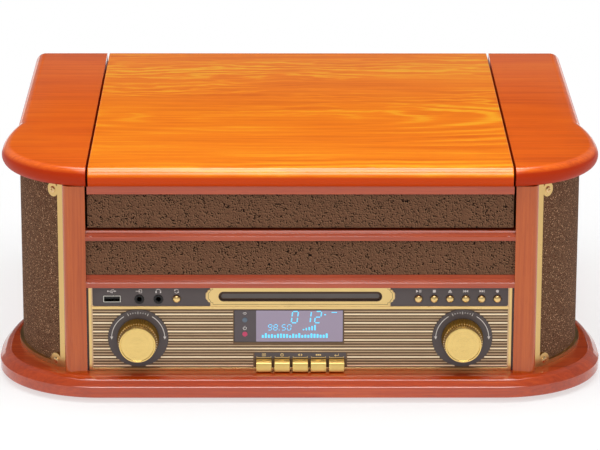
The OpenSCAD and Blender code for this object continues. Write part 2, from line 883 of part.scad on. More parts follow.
// Brass sheet: ribbed field below, borders, and the plate round the disc slot
module panel_trim() {
    plate_h = panel_h - striped_h;
    plate_z = panel_top - plate_h / 2;
    color(brass_colour) {
        upright(panel_y, sheet_t) difference() {
            union() {
                translate([-trim_half, base_top]) square([2 * trim_half, striped_h]);
                for (x = [-trim_half, trim_half - border_w])
                    translate([x, base_top]) square([border_w, panel_h]);
                slab(2 * plate_half, plate_h, 0, plate_z);
                slab(2 * plate_tip, plate_h / 2, 0, plate_z);
            }
            translate([0, row_z]) stadium(slot_w, slot_h);
            dial_openings(dial_r + slip);
            window_opening(0);
            key_openings();
        }
        upright(panel_y - sheet_t, sheet_t) ribs(15, true);
        upright(panel_y - sheet_t, sheet_t / 2) ribs(15, false);
        upright(panel_y - sheet_t, sheet_t) {
            slab(2 * trim_half, 1.4, 0, base_top + striped_h - 0.7);
            difference() {
                translate([0, row_z]) stadium(slot_w + 4, slot_h + 4);
                translate([0, row_z]) stadium(slot_w, slot_h);
            }
        }
    }
}

module dial_plates() {
    color(grey) upright(panel_y, dial_t) difference() {
        dial_openings(dial_r);
        dial_openings(bush_r + slip);
    }
}

module display_window() {
    color([0.25, 0.22, 0.27]) upright(panel_back, panel_t + sheet_t)
        slab(window_w - 2 * slip, window_h - 2 * slip, -window_x, window_z);
}

// Turned piece whose axis points forward from the panel
module turned(x, z) {
    translate([x, panel_y, z]) rotate([90, 0, 0]) children();
}

module front_sockets() {
    depth = 14;
    color(steel) {
        difference() {
            upright(panel_y + depth, depth) slab(usb_w, usb_h, usb_x, socket_z);
            upright(panel_y + depth - 1, depth) slab(usb_w - 1.2, usb_h - 1.2, usb_x, socket_z);
        }
        upright(panel_y + depth - 1, depth - 3) slab(usb_w - 3, 1.8, usb_x, socket_z + 0.8);
    }
    color(black) for (x = jack_xs) turned(x, socket_z) difference() {
        union() {
            translate([0, 0, -depth]) cylinder(r = 3, h = depth);
            cylinder(r = 3.6, h = 0.8);
            translate([-4, -4.5, -depth]) cube([8, 9, depth - panel_t]);
        }
        translate([0, 0, -depth + 1]) cylinder(r = jack_r, h = depth + cut);
    }
}

// Knob on its shaft: fluted skirt, smooth cap with a raised rim
module knob(x) {
    back = dial_t + slip;
    skirt_l = knob_l * 0.6;
    front = back + knob_l;
    flute = 0.8;
    n = 2 * knob_flutes;
    color(brass_colour) turned(x, knob_z) {
        translate([0, 0, back]) linear_extrude(skirt_l) polygon([for (i = [0:n - 1])
            let (r = knob_skirt_r - flute * (i % 2), a = 360 * i / n) [r * cos(a), r * sin(a)]]);
        rotate_extrude() polygon([
            [0, back + 1], [knob_skirt_r - 2, back + 1], [knob_cap_r + 0.6, back + skirt_l + 0.8],
            [knob_cap_r, back + skirt_l + 1.6], [knob_cap_r, front - 1], [knob_cap_r - 1, front],
            [knob_cap_r - 2, front], [knob_cap_r - 2.6, front - 0.6], [0, front - 0.6]
        ]);
        translate([0, 0, -9]) cylinder(r = shaft_r, h = 9 + back + 2);
    }
}

module volume_knob() {
    knob(-knob_x);
}

module tuning_knob() {
    knob(knob_x);
}

module rotary_controls() {
    pot_r = 8.5;
    pot_l = 12;
    color(steel) for (x = [-knob_x, knob_x]) turned(x, knob_z) difference() {
        union() {
            translate([0, 0, -panel_t - pot_l]) cylinder(r = pot_r, h = pot_l);
            translate([0, 0, -panel_t - 1]) cylinder(r = bush_r, h = panel_t + 1 + dial_t);
        }
        translate([0, 0, -10]) cylinder(r = shaft_r + running, h = 10 + dial_t + cut);
    }
}

button_back = board_y - panel_y - press - slip;

module push_button(x) {
    collar = panel_t + slip;
    dome = [for (a = [0:15:90]) [button_r * cos(a), 1.2 + 1.4 * sin(a)]];
    color(brass_colour) turned(x, button_z) rotate_extrude() polygon(concat(
        [[0, -button_back], [2, -button_back], [2, -collar - 1.5], [button_r + 1, -collar - 1.5],
        [button_r + 1, -collar], [button_r, -collar]],
        dome
    ));
}

module function_button() {
    push_button(function_x);
}

module play_button() {
    push_button(button_x(0));
}

module stop_button() {
    push_button(button_x(1));
}

module open_button() {
    push_button(button_x(2));
}

module skip_back_button() {
    push_button(button_x(3));
}

module skip_on_button() {
    push_button(button_x(4));
}

module record_button() {
    push_button(button_x(5));
}

// Bar key with a sloping top, held by a collar behind the panel
module bar_key(i) {
    low = key_z - key_h / 2;
    top = key_z + key_h / 2;
    front = panel_y - 7;
    collar = panel_back + slip;
    x = key_x(i) - key_w / 2;
    color(brass_colour) along_x(x, x + key_w) polygon([
        [front, low], [front, low + 4.8], [panel_y - 1, top], [collar, top], [collar, top + 1],
        [collar + 1.5, top + 1], [collar + 1.5, key_z + 2], [panel_y + button_back, key_z + 2],
        [panel_y + button_back, key_z - 2], [collar + 1.5, key_z - 2], [collar + 1.5, low]
    ]);
}

module key_1() {
    bar_key(0);
}

module key_2() {
    bar_key(1);
}

module key_3() {
    bar_key(2);
}

module key_4() {
    bar_key(3);
}

module key_5() {
    bar_key(4);
}

// ---- Disc player ----

tray_slip = 0.45;
tray_front = panel_y + 0.8;
disc_y = tray_front + 64;
tray_low = row_z - slot_h / 2 + tray_slip;
tray_top = row_z + slot_h / 2 - tray_slip;
hub_shaft_r = 1.5;
rail_low = row_z - 16;

module disc_tray() {
    color(grey) difference() {
        upright(tray_front + tray_l, tray_l) translate([0, row_z])
            stadium(slot_w - 2 * tray_slip, slot_h - 2 * tray_slip);
        translate([0, disc_y, tray_top - 1.6]) cylinder(r = 60.5, h = 5);
        translate([0, disc_y, tray_top - 2.6]) cylinder(r = 40.5, h = 5);
        translate([0, disc_y, tray_low - cut]) cylinder(r = 17, h = 10);
        translate([-13, disc_y, tray_low - cut]) cube([26, 48, 10]);
    }
}

// Rails for the tray, a floor under the hub, and four legs
module disc_frame() {
    rail_in = slot_w / 2;
    rail_out = rail_in + 6;
    far = tray_front + tray_l + 10;
    near = board_y + 4;
    floor_t = 3;
    color(black) difference() {
        union() {
            both_sides() {
                box([rail_in, near, rail_low], [rail_out, far, tray_top + 4]);
                box([rail_in - 7, near, tray_low - slip - 2], [rail_in + cut, far, tray_low - slip]);
                box([rail_in - 3, near, tray_top + slip], [rail_in + cut, far, tray_top + slip + 2]);
                for (y = [near + 12, far - 12])
                    translate([rail_in - 5, y, base_top]) cylinder(r = 4, h = rail_low - base_top + 1);
            }
            box([-rail_out, near, rail_low], [rail_out, far, rail_low + floor_t]);
            translate([0, disc_y, rail_low - 4]) cylinder(r = 12, h = 10);
        }
        translate([0, disc_y, rail_low - 2]) cylinder(r = hub_shaft_r + running, h = 20);
    }
}

module disc_hub() {
    bearing = rail_low + 6;
    low = bearing + slip;
    top = tray_low - slip;
    color(steel) translate([0, disc_y, 0]) rotate_extrude() polygon([
        [0, rail_low - 1], [hub_shaft_r, rail_low - 1], [hub_shaft_r, low], [14, low],
        [14, low + 2.5], [7, low + 4], [7, top], [0, top]
    ]);
}

// ---- Electronics ----

module circuit_boards() {
    t = 1.6;
    sink_w = 60;
    sink_t = 4;
    sink_h = 32;
    fins = 7;
    fin_t = 3;
    fin_l = 16;
    top = row_z + 7;
    main_z = base_top + 12;
    main_high = [-half_w / 7, back_in - 34];
    main_low = [6 - half_w, main_high.y - 155];
    color([0.12, 0.34, 0.2]) {
        upright(board_y + t, t) difference() {
            translate([-half_w + 4, base_top + 1]) square([centre_w - 8, top - base_top]);
            slab(slot_w + 14, 20, 0, row_z);
            dial_openings(9);
            translate([-half_w, socket_z - 6]) square([half_w + jack_xs[1] + 6, panel_h]);
        }
        box([main_low.x, main_low.y, main_z], [main_high.x, main_high.y, main_z + t]);
    }
    color(black) upright(board_y, board_y - panel_back) window_opening(1);
    color(steel) for (x = [main_low.x + 8, main_high.x - 8], y = [main_low.y + 8, main_high.y - 8])
        translate([x, y, base_top]) cylinder(r = 3, h = main_z - base_top);
    color(black) for (i = [0:3]) translate([main_low.x + 30 + 22 * i, main_high.y - 25, main_z + t])
        cylinder(r = 8, h = 26);
    color(steel) {
        translate([main_low.x + 15, main_low.y + 25, main_z + t]) {
            cube([sink_w, sink_t, sink_h]);
            for (i = [0:fins - 1]) translate([i * (sink_w - fin_t) / (fins - 1), sink_t, 0])
                cube([fin_t, fin_l, sink_h]);
        }
    }
}

// Iron core with its winding and two feet
module power_transformer() {
    core_w = 66;
    core_d = 30;
    core_h = 52;
    coil_w = 40;
    coil_d = 52;
    lug_w = 9;
    lug_d = 20;
    lug_t = 2;
    color(grey) translate([half_w - 59.3, back_in - 79, base_top]) {
        translate([-core_w / 2, -core_d / 2, 0]) cube([core_w, core_d, core_h]);
        translate([-coil_w / 2, -coil_d / 2, 9]) cube([coil_w, coil_d, core_h - 18]);
        for (x = [-core_w / 2 - lug_w, core_w / 2])
            translate([x, -lug_d / 2, 0]) cube([lug_w, lug_d, lug_t]);
    }
}

module rear_sockets() {
    color(steel) for (x = [line_out_x, line_out_x + line_out_pitch, aerial_x])
        translate([x, back_y, rear_z]) rotate([90, 0, 0]) difference() {
            translate([0, 0, -5]) cylinder(r = socket_r, h = back_t + 10);
            translate([0, 0, -5 - cut]) cylinder(r = 1.6, h = 8);
        }
    color(black) translate([gland_x, back_y, gland_z]) rotate([90, 0, 0]) difference() {
        union() {
            translate([0, 0, -2.5]) cylinder(r = gland_r + 2, h = 2.5);
            cylinder(r = gland_r, h = back_t + 3);
        }
        translate([0, 0, -4]) cylinder(r = 3.2, h = back_t + 10);
    }
}

base_plate();
rubber_feet();
wing_boards();
front_posts();
side_panels();
partition_walls();
back_panel();
fascia_rails();
fascia_cloth();
speaker_grilles();
grille_trims();
grille_screws();
speaker_baffles();
speaker_drivers();
speaker_cones();
lid_board();
lid_frame();
lid_cloth();
hinge_base_leaves();
hinge_lid_leaves();
hinge_pins();
deck_plate();
platter();
platter_mat();
centre_spindle();
drive_motor();
motor_pulley();
drive_belt();
tonearm_base();
tonearm_yoke();
tonearm();
cartridge();
arm_rest();
speed_switch();
control_panel();
panel_trim();
dial_plates();
display_window();
front_sockets();
volume_knob();
tuning_knob();
rotary_controls();
function_button();
play_button();
stop_button();
open_button();
skip_back_button();
skip_on_button();
record_button();
key_1();
key_2();
key_3();
key_4();
key_5();
disc_tray();
disc_frame();
disc_hub();
circuit_boards();
power_transformer();
rear_sockets();
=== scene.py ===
import json
import math
import bmesh
import bpy
from mathutils import Matrix, Vector

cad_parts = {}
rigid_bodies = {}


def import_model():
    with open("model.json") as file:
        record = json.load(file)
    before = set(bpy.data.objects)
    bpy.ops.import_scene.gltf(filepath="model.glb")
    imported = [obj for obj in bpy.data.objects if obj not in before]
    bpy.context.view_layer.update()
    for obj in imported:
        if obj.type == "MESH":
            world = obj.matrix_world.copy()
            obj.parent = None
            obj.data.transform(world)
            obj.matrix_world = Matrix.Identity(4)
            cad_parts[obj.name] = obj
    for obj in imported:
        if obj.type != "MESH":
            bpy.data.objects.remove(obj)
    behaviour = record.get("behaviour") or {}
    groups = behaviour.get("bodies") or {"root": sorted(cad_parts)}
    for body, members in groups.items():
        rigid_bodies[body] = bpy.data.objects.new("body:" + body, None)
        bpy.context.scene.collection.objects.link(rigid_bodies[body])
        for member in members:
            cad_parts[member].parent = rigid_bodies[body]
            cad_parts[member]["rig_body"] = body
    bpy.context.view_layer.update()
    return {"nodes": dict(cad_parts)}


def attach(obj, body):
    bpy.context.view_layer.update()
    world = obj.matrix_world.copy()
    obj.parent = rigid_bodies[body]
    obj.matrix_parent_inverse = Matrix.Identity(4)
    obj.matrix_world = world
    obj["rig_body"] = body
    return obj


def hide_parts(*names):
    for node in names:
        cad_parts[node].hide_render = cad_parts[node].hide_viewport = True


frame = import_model()
NODES = frame["nodes"]
MM = 0.001


# ---------------------------------------------------------------- camera

CAMERA_PLACE = (-0.01852, -2.76715, 0.93468)
CAMERA_PITCH = math.radians(16.98)
CAMERA_YAW = math.radians(0.40)
CAMERA_ROLL = math.radians(0.12)
CAMERA_LENS = 204.13


def make_camera():
    data = bpy.data.cameras.new("camera")
    data.sensor_width = 36
    data.lens = CAMERA_LENS
    data.clip_start = 0.1
    camera = bpy.data.objects.new("camera", data)
    bpy.context.scene.collection.objects.link(camera)
    forward = Vector((math.sin(CAMERA_YAW) * math.cos(CAMERA_PITCH),
                      math.cos(CAMERA_YAW) * math.cos(CAMERA_PITCH),
                      -math.sin(CAMERA_PITCH)))
    turn = forward.to_track_quat("-Z", "Y").to_matrix().to_4x4()
    camera.matrix_world = Matrix.Translation(CAMERA_PLACE) @ turn @ Matrix.Rotation(CAMERA_ROLL, 4, "Z")
    bpy.context.scene.camera = camera


# ---------------------------------------------------------------- shader maths

class Socket:
    """One output of a shader node. Python's operators on it add Math nodes."""

    def __init__(self, finish, out):
        self.finish = finish
        self.out = out

    def math(self, operation, *others):
        return self.finish.node("Math", {"operation": operation}, [self, *others])

    def __add__(self, other):
        return self.math("ADD", other)

    def __sub__(self, other):
        return self.math("SUBTRACT", other)

    def __mul__(self, other):
        return self.math("MULTIPLY", other)

    def __truediv__(self, other):
        return self.math("DIVIDE", other)

    def __rsub__(self, other):
        return self.finish.node("Math", {"operation": "SUBTRACT"}, [other, self])

    def __abs__(self):
        return self.math("ABSOLUTE")

    __radd__ = __add__
    __rmul__ = __mul__

    def above(self, level, soft):
        """0 below level, 1 above it, with a step between that is soft wide."""
        return ((self - level) / soft + 0.5).math("MAXIMUM", 0.0).math("MINIMUM", 1.0)

    def wave(self):
        return self.math("SINE") * 0.5 + 0.5


def rgb(red, green, blue):
    """A colour as it looks on a screen, 0 to 255, as the linear values that a shader takes."""
    def linear(v):
        v = v / 255
        return v / 12.92 if v <= 0.04045 else ((v + 0.055) / 1.055) ** 2.4
    return (linear(red), linear(green), linear(blue), 1.0)


def dimmed(colour, *shares):
    """The colour with its red, green and blue times those shares, or all three times one share."""
    shares = shares * 3 if len(shares) == 1 else shares
    return [value * share for value, share in zip(colour, shares)] + [1.0]


class Finish:
    """One material: a Principled shader with the nodes that feed it."""

    def __init__(self, name, **constants):
        self.material = bpy.data.materials.new(name)
        self.material.use_nodes = True
        self.tree = self.material.node_tree
        self.shader = self.tree.nodes["Principled BSDF"]
        for key, value in constants.items():
            self.feed(key.replace("_", " ").title().replace("Ior", "IOR"), value)

    def feed(self, key, value):
        self.join(self.shader.inputs[key], value)

    def join(self, target, value):
        if isinstance(value, Socket):
            self.tree.links.new(value.out, target)
        else:
            target.default_value = value

    def node(self, kind, settings, values, output=0):
        made = self.tree.nodes.new("ShaderNode" + kind)
        for key, value in settings.items():
            if key == "stops":
                set_stops(made.color_ramp, value)
            else:
                setattr(made, key, value)
        for key, value in (values.items() if isinstance(values, dict) else enumerate(values)):
            self.join(made.inputs[key], value)
        return Socket(self, made.outputs[output])

    def place(self):
        return self.node("TexCoord", {}, {}, "Object")

    def axes(self, place=None):
        place = place or self.place()
        return [self.node("SeparateXYZ", {}, [place], axis) for axis in range(3)]

    def vector(self, x, y, z):
        return self.node("CombineXYZ", {}, [x, y, z])

    def stretched(self, place, factors):
        return self.node("VectorMath", {"operation": "MULTIPLY"}, [place, factors])

    def noise(self, place, scale=1.0, detail=2.0, roughness=0.5, distortion=0.0):
        return self.node("TexNoise", {}, {"Vector": place, "Scale": scale, "Detail": detail,
                                          "Roughness": roughness, "Distortion": distortion})

    def cells(self, place, scale):
        return self.node("TexVoronoi", {}, {"Vector": place, "Scale": scale}, "Distance")

    def mix(self, first, second, factor):
        return self.node("Mix", {"data_type": "RGBA"}, {0: factor, 6: first, 7: second}, 2)

    def ramp(self, factor, stops):
        return self.node("ValToRGB", {"stops": stops}, [factor])

    def bump(self, height, depth, strength=1.0):
        """Feeds the normal from a height of 0 to 1 that stands depth metres proud."""
        self.feed("Normal", self.node("Bump", {}, {"Height": height, "Distance": depth,
                                                   "Strength": strength}))


def set_stops(ramp, stops):
    while len(ramp.elements) > 1:
        ramp.elements.remove(ramp.elements[-1])
    ramp.elements[0].position, ramp.elements[0].color = stops[0]
    for position, colour in stops[1:]:
        ramp.elements.new(position).color = colour


# ---------------------------------------------------------------- finishes

def lacquered_wood(name, deep, middle, pale, grain=(1, 0, 0), figure=0.0, coat=1.5, edge=None):
    """Veneer under clear gloss lacquer. grain is the axis the fibres run along, figure how strongly
    the arched rings of a flat-cut board show, coat the lacquer's optical index, edge the height
    below which the rounded edge is darker and its lacquer coat thinner: partly a darker stain and
    partly painted shade where less light falls on the lower part of the edge."""
    f = Finish(name, roughness=0.5, coat_weight=1.0, coat_roughness=0.04, coat_ior=coat,
               specular_ior_level=0.1)
    place = f.place()
    x, y, z = f.axes(place)

    def grained(along, across, detail, roughness, distortion=0.0):
        factors = [along if axis else across for axis in grain]
        return f.noise(f.stretched(place, factors), 1.0, detail, roughness, distortion)

    fibre = grained(5.0, 90.0, 5.0, 0.62)
    cloud = grained(3.0, 9.0, 3.0, 0.55, 0.6)
    streak = grained(12.0, 520.0, 3.0, 0.6)
    tone = fibre * 0.45 + cloud * 0.5 + streak * 0.5 - 0.24
    if figure:
        wander = f.noise(f.stretched(place, (6.0, 20.0, 20.0)), 1.0, 4.0, 0.6) - 0.5
        arch = abs(x + 0.02) * 0.22
        ring = ((y + 0.035) + wander * 0.06).math("POWER", 2.0) + arch * arch
        bands = (ring.math("SQRT") * 520.0 + wander * 14.0).wave().math("POWER", 2.0)
        fade = f.noise(f.stretched(place, (4.0, 14.0, 14.0)), 1.0, 1.0).above(0.5, 0.3)
        tone = tone + (bands * fade - 0.12) * figure
    pore = grained(80.0, 2600.0, 1.0, 0.5)
    colour = f.ramp(tone, [(0.22, deep), (0.5, middle), (0.78, pale)])
    colour = f.mix(colour, deep, pore.above(0.66, 0.06) * 0.35)
    if edge:
        # painted shade, partly stain: below edge the colour turns a deeper red and the lacquer coat
        # thins
        low = 1 - z.above(edge, 0.003)
        colour = f.mix(colour, dimmed(deep, 0.8, 0.48, 0.6), low)
        f.feed("Coat Weight", 1 - low * 0.9)
    f.feed("Base Color", colour)
    ripple = grained(10.0, 45.0, 2.0, 0.5)
    f.bump(ripple * 0.7 + streak * 0.3, 0.00008, 0.5)
    return f.material


def speaker_cloth(name, ground, thread, fleck, size, amount, dots=0.0):
    """Woven cloth with short curly dark flecks, each beside a pale thread, partly the cloth's own
    flecks and partly painted shadow and painted highlight of raised loops. size is a fleck's length
    in metres, amount their share of the cloth, dots the share of shining knots."""
    f = Finish(name, roughness=0.95, specular_ior_level=0.1)
    place = f.place()

    def curls(shift, share):
        at = f.node("VectorMath", {"operation": "ADD"}, [place, shift])
        return f.noise(at, 1.0 / size, 1.0, 0.5, 1.8).above(0.68 - share * 0.2, 0.03)

    # painted light: the dark curls are also painted shadow of raised loops, the offset pale copy their
    # painted highlight
    dark = curls((0.0, 0.0, 0.0), amount)
    pale = curls((size * 0.3, 0.0, size * 0.35), amount * 1.25)
    x, y, z = f.axes(place)
    weave = ((x + y) * 7800.0).wave() * (z * 7800.0).wave()
    cloud = f.noise(place, 160.0, 3.0, 0.7)
    base = f.mix(ground, dimmed(ground, 0.55), cloud * 0.8 + weave * 0.5 - 0.2)
    woven = f.mix(f.mix(base, thread, pale * 0.6), fleck, dark)
    if dots:
        knots = 1 - f.cells(place, 1.0 / (size * 1.3)).above(0.3, 0.1)
        bright = f.noise(place, 0.9 / size, 0.0).above(1 - dots, 0.02)
        woven = f.mix(woven, dimmed(thread, 1.6), knots * bright)
    f.feed("Base Color", woven)
    f.bump(weave, 0.00003, 0.5)
    return f.material


def metal(name, colour, roughness, brushed=(1, 1, 1), depth=0.00001, stain=0.1, metallic=1.0):
    """Metal whose brush marks run along the axes with a small factor in brushed."""
    f = Finish(name, metallic=metallic)
    place = f.place()
    marks = f.noise(f.stretched(place, brushed), 700.0, 3.0, 0.6)
    dull = f.noise(place, 45.0, 3.0, 0.6)
    f.feed("Base Color", f.mix(colour, dimmed(colour, 1 - stain), dull))
    f.feed("Roughness", roughness + dull * 0.12 + marks * 0.08 - 0.08)
    f.bump(marks, depth, 0.6)
    return f.material


def plastic(name, colour, roughness, grain=900.0, depth=0.00003):
    """Moulded plastic with its fine grain."""
    f = Finish(name, specular_ior_level=0.5)
    place = f.place()
    fine = f.noise(place, grain, 2.0, 0.6)
    haze = f.noise(place, 25.0, 3.0, 0.6)
    f.feed("Base Color", f.mix(colour, dimmed(colour, 0.8), haze))
    f.feed("Roughness", roughness + (haze - 0.5) * 0.15)
    f.bump(fine, depth, 0.7)
    return f.material


def fibre_board(name, colour):
    """Pressed board: short fibres and dust."""
    f = Finish(name, roughness=0.85, specular_ior_level=0.2)
    place = f.place()
    fibre = f.noise(f.stretched(place, (1.0, 1.6, 1.0)), 900.0, 4.0, 0.7)
    f.feed("Base Color", f.mix(colour, dimmed(colour, 0.55), fibre))
    f.bump(fibre, 0.00008)
    return f.material


def circuit_board(name):
    """Green lacquer over copper tracks."""
    f = Finish(name, roughness=0.35)
    place = f.place()
    x = f.axes(place)[0]
    lanes = (x * 1900.0 + f.noise(place, 60.0, 0.0).above(0.5, 0.02) * 2.0).wave().above(0.72, 0.1)
    gate = f.cells(place, 70.0).above(0.45, 0.03)
    f.feed("Base Color", f.mix(rgb(22, 70, 42), rgb(44, 112, 66), lanes * gate))
    f.bump(lanes * gate, 0.00004)
    return f.material


def turned_metal(name, colour, centre, axis, roughness, groove):
    """Metal turned on a lathe: fine rings round centre, in the plane across axis."""
    f = Finish(name, metallic=1.0)
    offset = f.node("VectorMath", {"operation": "SUBTRACT"}, [f.place(), centre])
    flat = f.stretched(offset, [0.0 if axis == i else 1.0 for i in range(3)])
    radius = f.node("VectorMath", {"operation": "LENGTH"}, [flat], "Value")
    rings = f.noise(f.vector(radius, 0.0, 0.0), 5200.0, 3.0, 0.8)
    broad = f.noise(f.vector(radius, 0.0, 0.0), 900.0, 2.0, 0.6)
    f.feed("Base Color", f.mix(colour, dimmed(colour, 0.86), broad))
    f.feed("Roughness", roughness + rings * 0.06)
    f.bump(rings, groove, 1.0)
    return f.material


def ink(name, colour):
    """Printed paint with a slightly uneven coat."""
    f = Finish(name, roughness=0.55)
    worn = f.noise(f.place(), 1200.0, 3.0, 0.7)
    f.feed("Base Color", f.mix(colour, dimmed(colour, 0.85), worn))
    return f.material


def glowing(name, colour, strength, pitch=0.0007):
    """A lit display segment or lamp, with the fine grid of its cells."""
    f = Finish(name, roughness=0.4, emission_strength=strength)
    x, _, z = f.axes()
    turns = 2 * math.pi / pitch
    grid = (x * turns).wave() * 0.2 + (z * turns).wave() * 0.2 + 0.7
    f.feed("Base Color", f.mix(dimmed(colour, 0.5), colour, grid))
    f.feed("Emission Color", f.mix(dimmed(colour, 0.6), colour, grid))
    return f.material


# ---------------------------------------------------------------- light and floor

# Brightness of the room as it lights matt surfaces
ROOM_LIGHT = 0.6
# Share of the full brightness that polished surfaces mirror, by the angle over the top from the
# horizon in front, 0, to the one behind, 1
ROOM_MIRRORED = [(0.0, 0.04), (0.060, 0.03), (0.1, 0.004), (0.16, 0.12), (0.22, 0.6), (0.305, 0.75),
                 (0.318, 0.05), (0.365, 0.05), (0.378, 1.0), (0.46, 1.0), (0.48, 0.5), (0.57, 0.5),
                 (0.585, 1.0), (0.63, 1.0), (0.67, 0.004), (0.915, 0.002), (0.95, 0.015), (1.0, 0.03)]
# The same share beside those strips, and on the cards at the sides
BESIDE, SIDE_CARD = 0.035, 0.015
BRIGHTEST = 8.0
WHITE = (1, 1, 1, 1)
LAMPS = [
    # name, place, aim, width, height, power
    ("overhead", (0.0, -0.3, 2.0), (0.0, 0.0, 0.1), 1.6, 1.2, 24.0),
    ("front_left", (-1.5, -2.0, 1.5), (0.0, 0.0, 0.1), 0.9, 1.1, 12.0),
    ("front_right", (1.8, -1.8, 1.1), (0.0, 0.0, 0.1), 0.7, 1.1, 9.0),
]


def make_studio():
    """A white room lit evenly, of which polished surfaces mirror a bright strip high in front, a
    screen overhead with a dimmer middle, a faint card on each side, and darkness between them."""
    world = bpy.data.worlds.new("studio")
    bpy.context.scene.world = world
    world.use_nodes = True
    f = Finish.__new__(Finish)  # only its node functions, on the world's tree
    f.tree = world.node_tree
    x, y, z = f.axes(f.node("TexCoord", {}, {}, "Generated"))
    over = z.math("ARCTAN2", 0 - y) / math.pi
    mirrored = f.ramp(over, [(place, (v, v, v, 1)) for place, v in ROOM_MIRRORED])
    beside = abs(x).above(0.24, 0.2) * z.above(0.02, 0.02)
    narrow = f.mix((BESIDE, BESIDE, BESIDE, 1), mirrored, 1 - beside)
    card = abs(x).above(0.86, 0.1) * z.above(0.1, 0.1) * SIDE_CARD
    ray = [f.node("LightPath", {}, {}, kind) for kind in ("Is Camera Ray", "Is Glossy Ray")]
    room = f.mix((ROOM_LIGHT, ROOM_LIGHT, ROOM_LIGHT, 1), f.mix(narrow, WHITE, card), ray[1])
    background = world.node_tree.nodes["Background"]
    f.join(background.inputs["Color"], f.mix(room, WHITE, ray[0]))
    f.join(background.inputs["Strength"], 1 + ray[1] * (BRIGHTEST - 1))
    for name, place, aim, width, height, power in LAMPS:
        data = bpy.data.lights.new(name, "AREA")
        data.shape = "RECTANGLE"
        data.size, data.size_y, data.energy = width, height, power
        lamp = bpy.data.objects.new(name, data)
        bpy.context.scene.collection.objects.link(lamp)
        lamp.location = place
        lamp.rotation_euler = (Vector(aim) - Vector(place)).to_track_quat("-Z", "Y").to_euler()
        lamp.visible_glossy = False


def floor_paint():
    """White near the object, so that it keeps a shadow, and glowing white further out."""
    f = Finish("floor", roughness=0.6, specular_ior_level=0.2)
    place = f.place()
    away = f.node("VectorMath", {"operation": "LENGTH"}, [place], "Value")
    f.feed("Base Color", f.mix(rgb(252, 252, 252), rgb(246, 246, 246), f.noise(place, 3.0)))
    glow = f.node("Emission", {}, {"Color": WHITE, "Strength": 1.0})
    fade = f.node("MixShader", {}, {0: ((away - 0.2) / 0.35).math("MAXIMUM", 0.6).math("MINIMUM", 1.0)})
    f.tree.links.new(f.shader.outputs[0], fade.out.node.inputs[1])
    f.tree.links.new(glow.out, fade.out.node.inputs[2])
    f.tree.links.new(fade.out, f.tree.nodes["Material Output"].inputs["Surface"])
    return f.material


def make_floor():
    made = bmesh.new()
    bmesh.ops.create_grid(made, x_segments=2, y_segments=2, size=6.0)
    floor = add_object("floor", made, floor_paint())


# ---------------------------------------------------------------- modelling helpers

def add_object(name, made, material, smooth=None):
    """Turns the bmesh into an object with its normals outward. smooth is the sharpest angle, in
    degrees, that is still shaded as a curve."""
    bmesh.ops.recalc_face_normals(made, faces=made.faces)
    mesh = bpy.data.meshes.new(name)
    made.to_mesh(mesh)
    made.free()
    if smooth is not None:
        mesh.shade_smooth()
        mesh.set_sharp_from_angle(angle=math.radians(smooth))
    mesh.materials.append(material)
    thing = bpy.data.objects.new(name, mesh)
    bpy.context.scene.collection.objects.link(thing)
    return thing


def carve(thing, *cutters):
    """Cuts the cutters' shapes out of thing and removes the cutters."""
    for cutter in cutters:
        step = thing.modifiers.new("carve", "BOOLEAN")
        step.operation = "DIFFERENCE"
        step.solver = "EXACT"
        step.object = cutter
    bpy.context.view_layer.update()
    seen = thing.evaluated_get(bpy.context.evaluated_depsgraph_get())
    carved = bpy.data.meshes.new_from_object(seen)
    thing.modifiers.clear()
    thing.data = carved
    for cutter in cutters:
        bpy.data.objects.remove(cutter)


def soften(thing, width, segments=2, angle=30):
    """Rounds the edges that are sharper than angle, in degrees."""
    step = thing.modifiers.new("worn edges", "BEVEL")
    step.width = width
    step.segments = segments
    step.limit_method = "ANGLE"
    step.angle_limit = math.radians(angle)


def smooth_copy(node):
    """A copy of a CAD node with its triangles joined, so that its curves shade smoothly."""
    made = bmesh.new()
    made.from_mesh(NODES[node].data)
    bmesh.ops.remove_doubles(made, verts=made.verts, dist=0.000002)
    bmesh.ops.dissolve_limit(made, angle_limit=math.radians(0.5), verts=made.verts, edges=made.edges)
    return stand_in(add_object(node + "_smooth", made, NODE_PAINT[node], 30), node)


def stand_in(thing, node):
    """thing replaces the CAD node and rides on its body."""
    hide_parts(node)
    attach(thing, NODES[node]["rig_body"])
    return thing


def prism(made, outline, start, end, plane="XZ"):
    """Adds a solid with that outline, in millimetres, between two places on the third axis."""
    loft(made, [[{"XZ": (a, c, b), "XY": (a, b, c), "YZ": (c, a, b)}[plane] for a, b in outline]
                for c in (start, end)])


def slab(name, outline, start, end, colour, plane="XZ", smooth=None):
    """An object that is one prism."""
    made = bmesh.new()
    prism(made, outline, start, end, plane)
    return add_object(name, made, paint[colour], smooth)


def loft(made, rings):
    """Adds a solid through closed rings of points, in millimetres, all with the same number."""
    count = len(rings[0])
    verts = [[made.verts.new(Vector(p) * MM) for p in ring] for ring in rings]
    for low, high in zip(verts, verts[1:]):
        for i in range(count):
            j = (i + 1) % count
            made.faces.new((low[i], low[j], high[j], high[i]))
    made.faces.new(verts[0][::-1])
    made.faces.new(verts[-1])


def lathe(made, profile, centre, axis="Y", steps=96):
    """Adds a turned solid. profile is (radius, distance along the axis) in millimetres, from axis
    to axis; along Y the distance is measured forwards, towards the front."""
    rings = []
    for r, d in profile:
        ring = []
        for i in range(steps if r else 1):
            ring.append(turned(centre, axis, r, 2 * math.pi * i / steps, d))
        rings.append([made.verts.new(Vector(p) * MM) for p in ring])
    for low, high in zip(rings, rings[1:]):
        for i in range(steps):
            j = (i + 1) % steps
            corners = []
            for ring, k in ((low, i), (low, j), (high, j), (high, i)):
                vert = ring[k % len(ring)]
                if vert not in corners:
                    corners.append(vert)
            if len(corners) > 2:
                made.faces.new(corners)


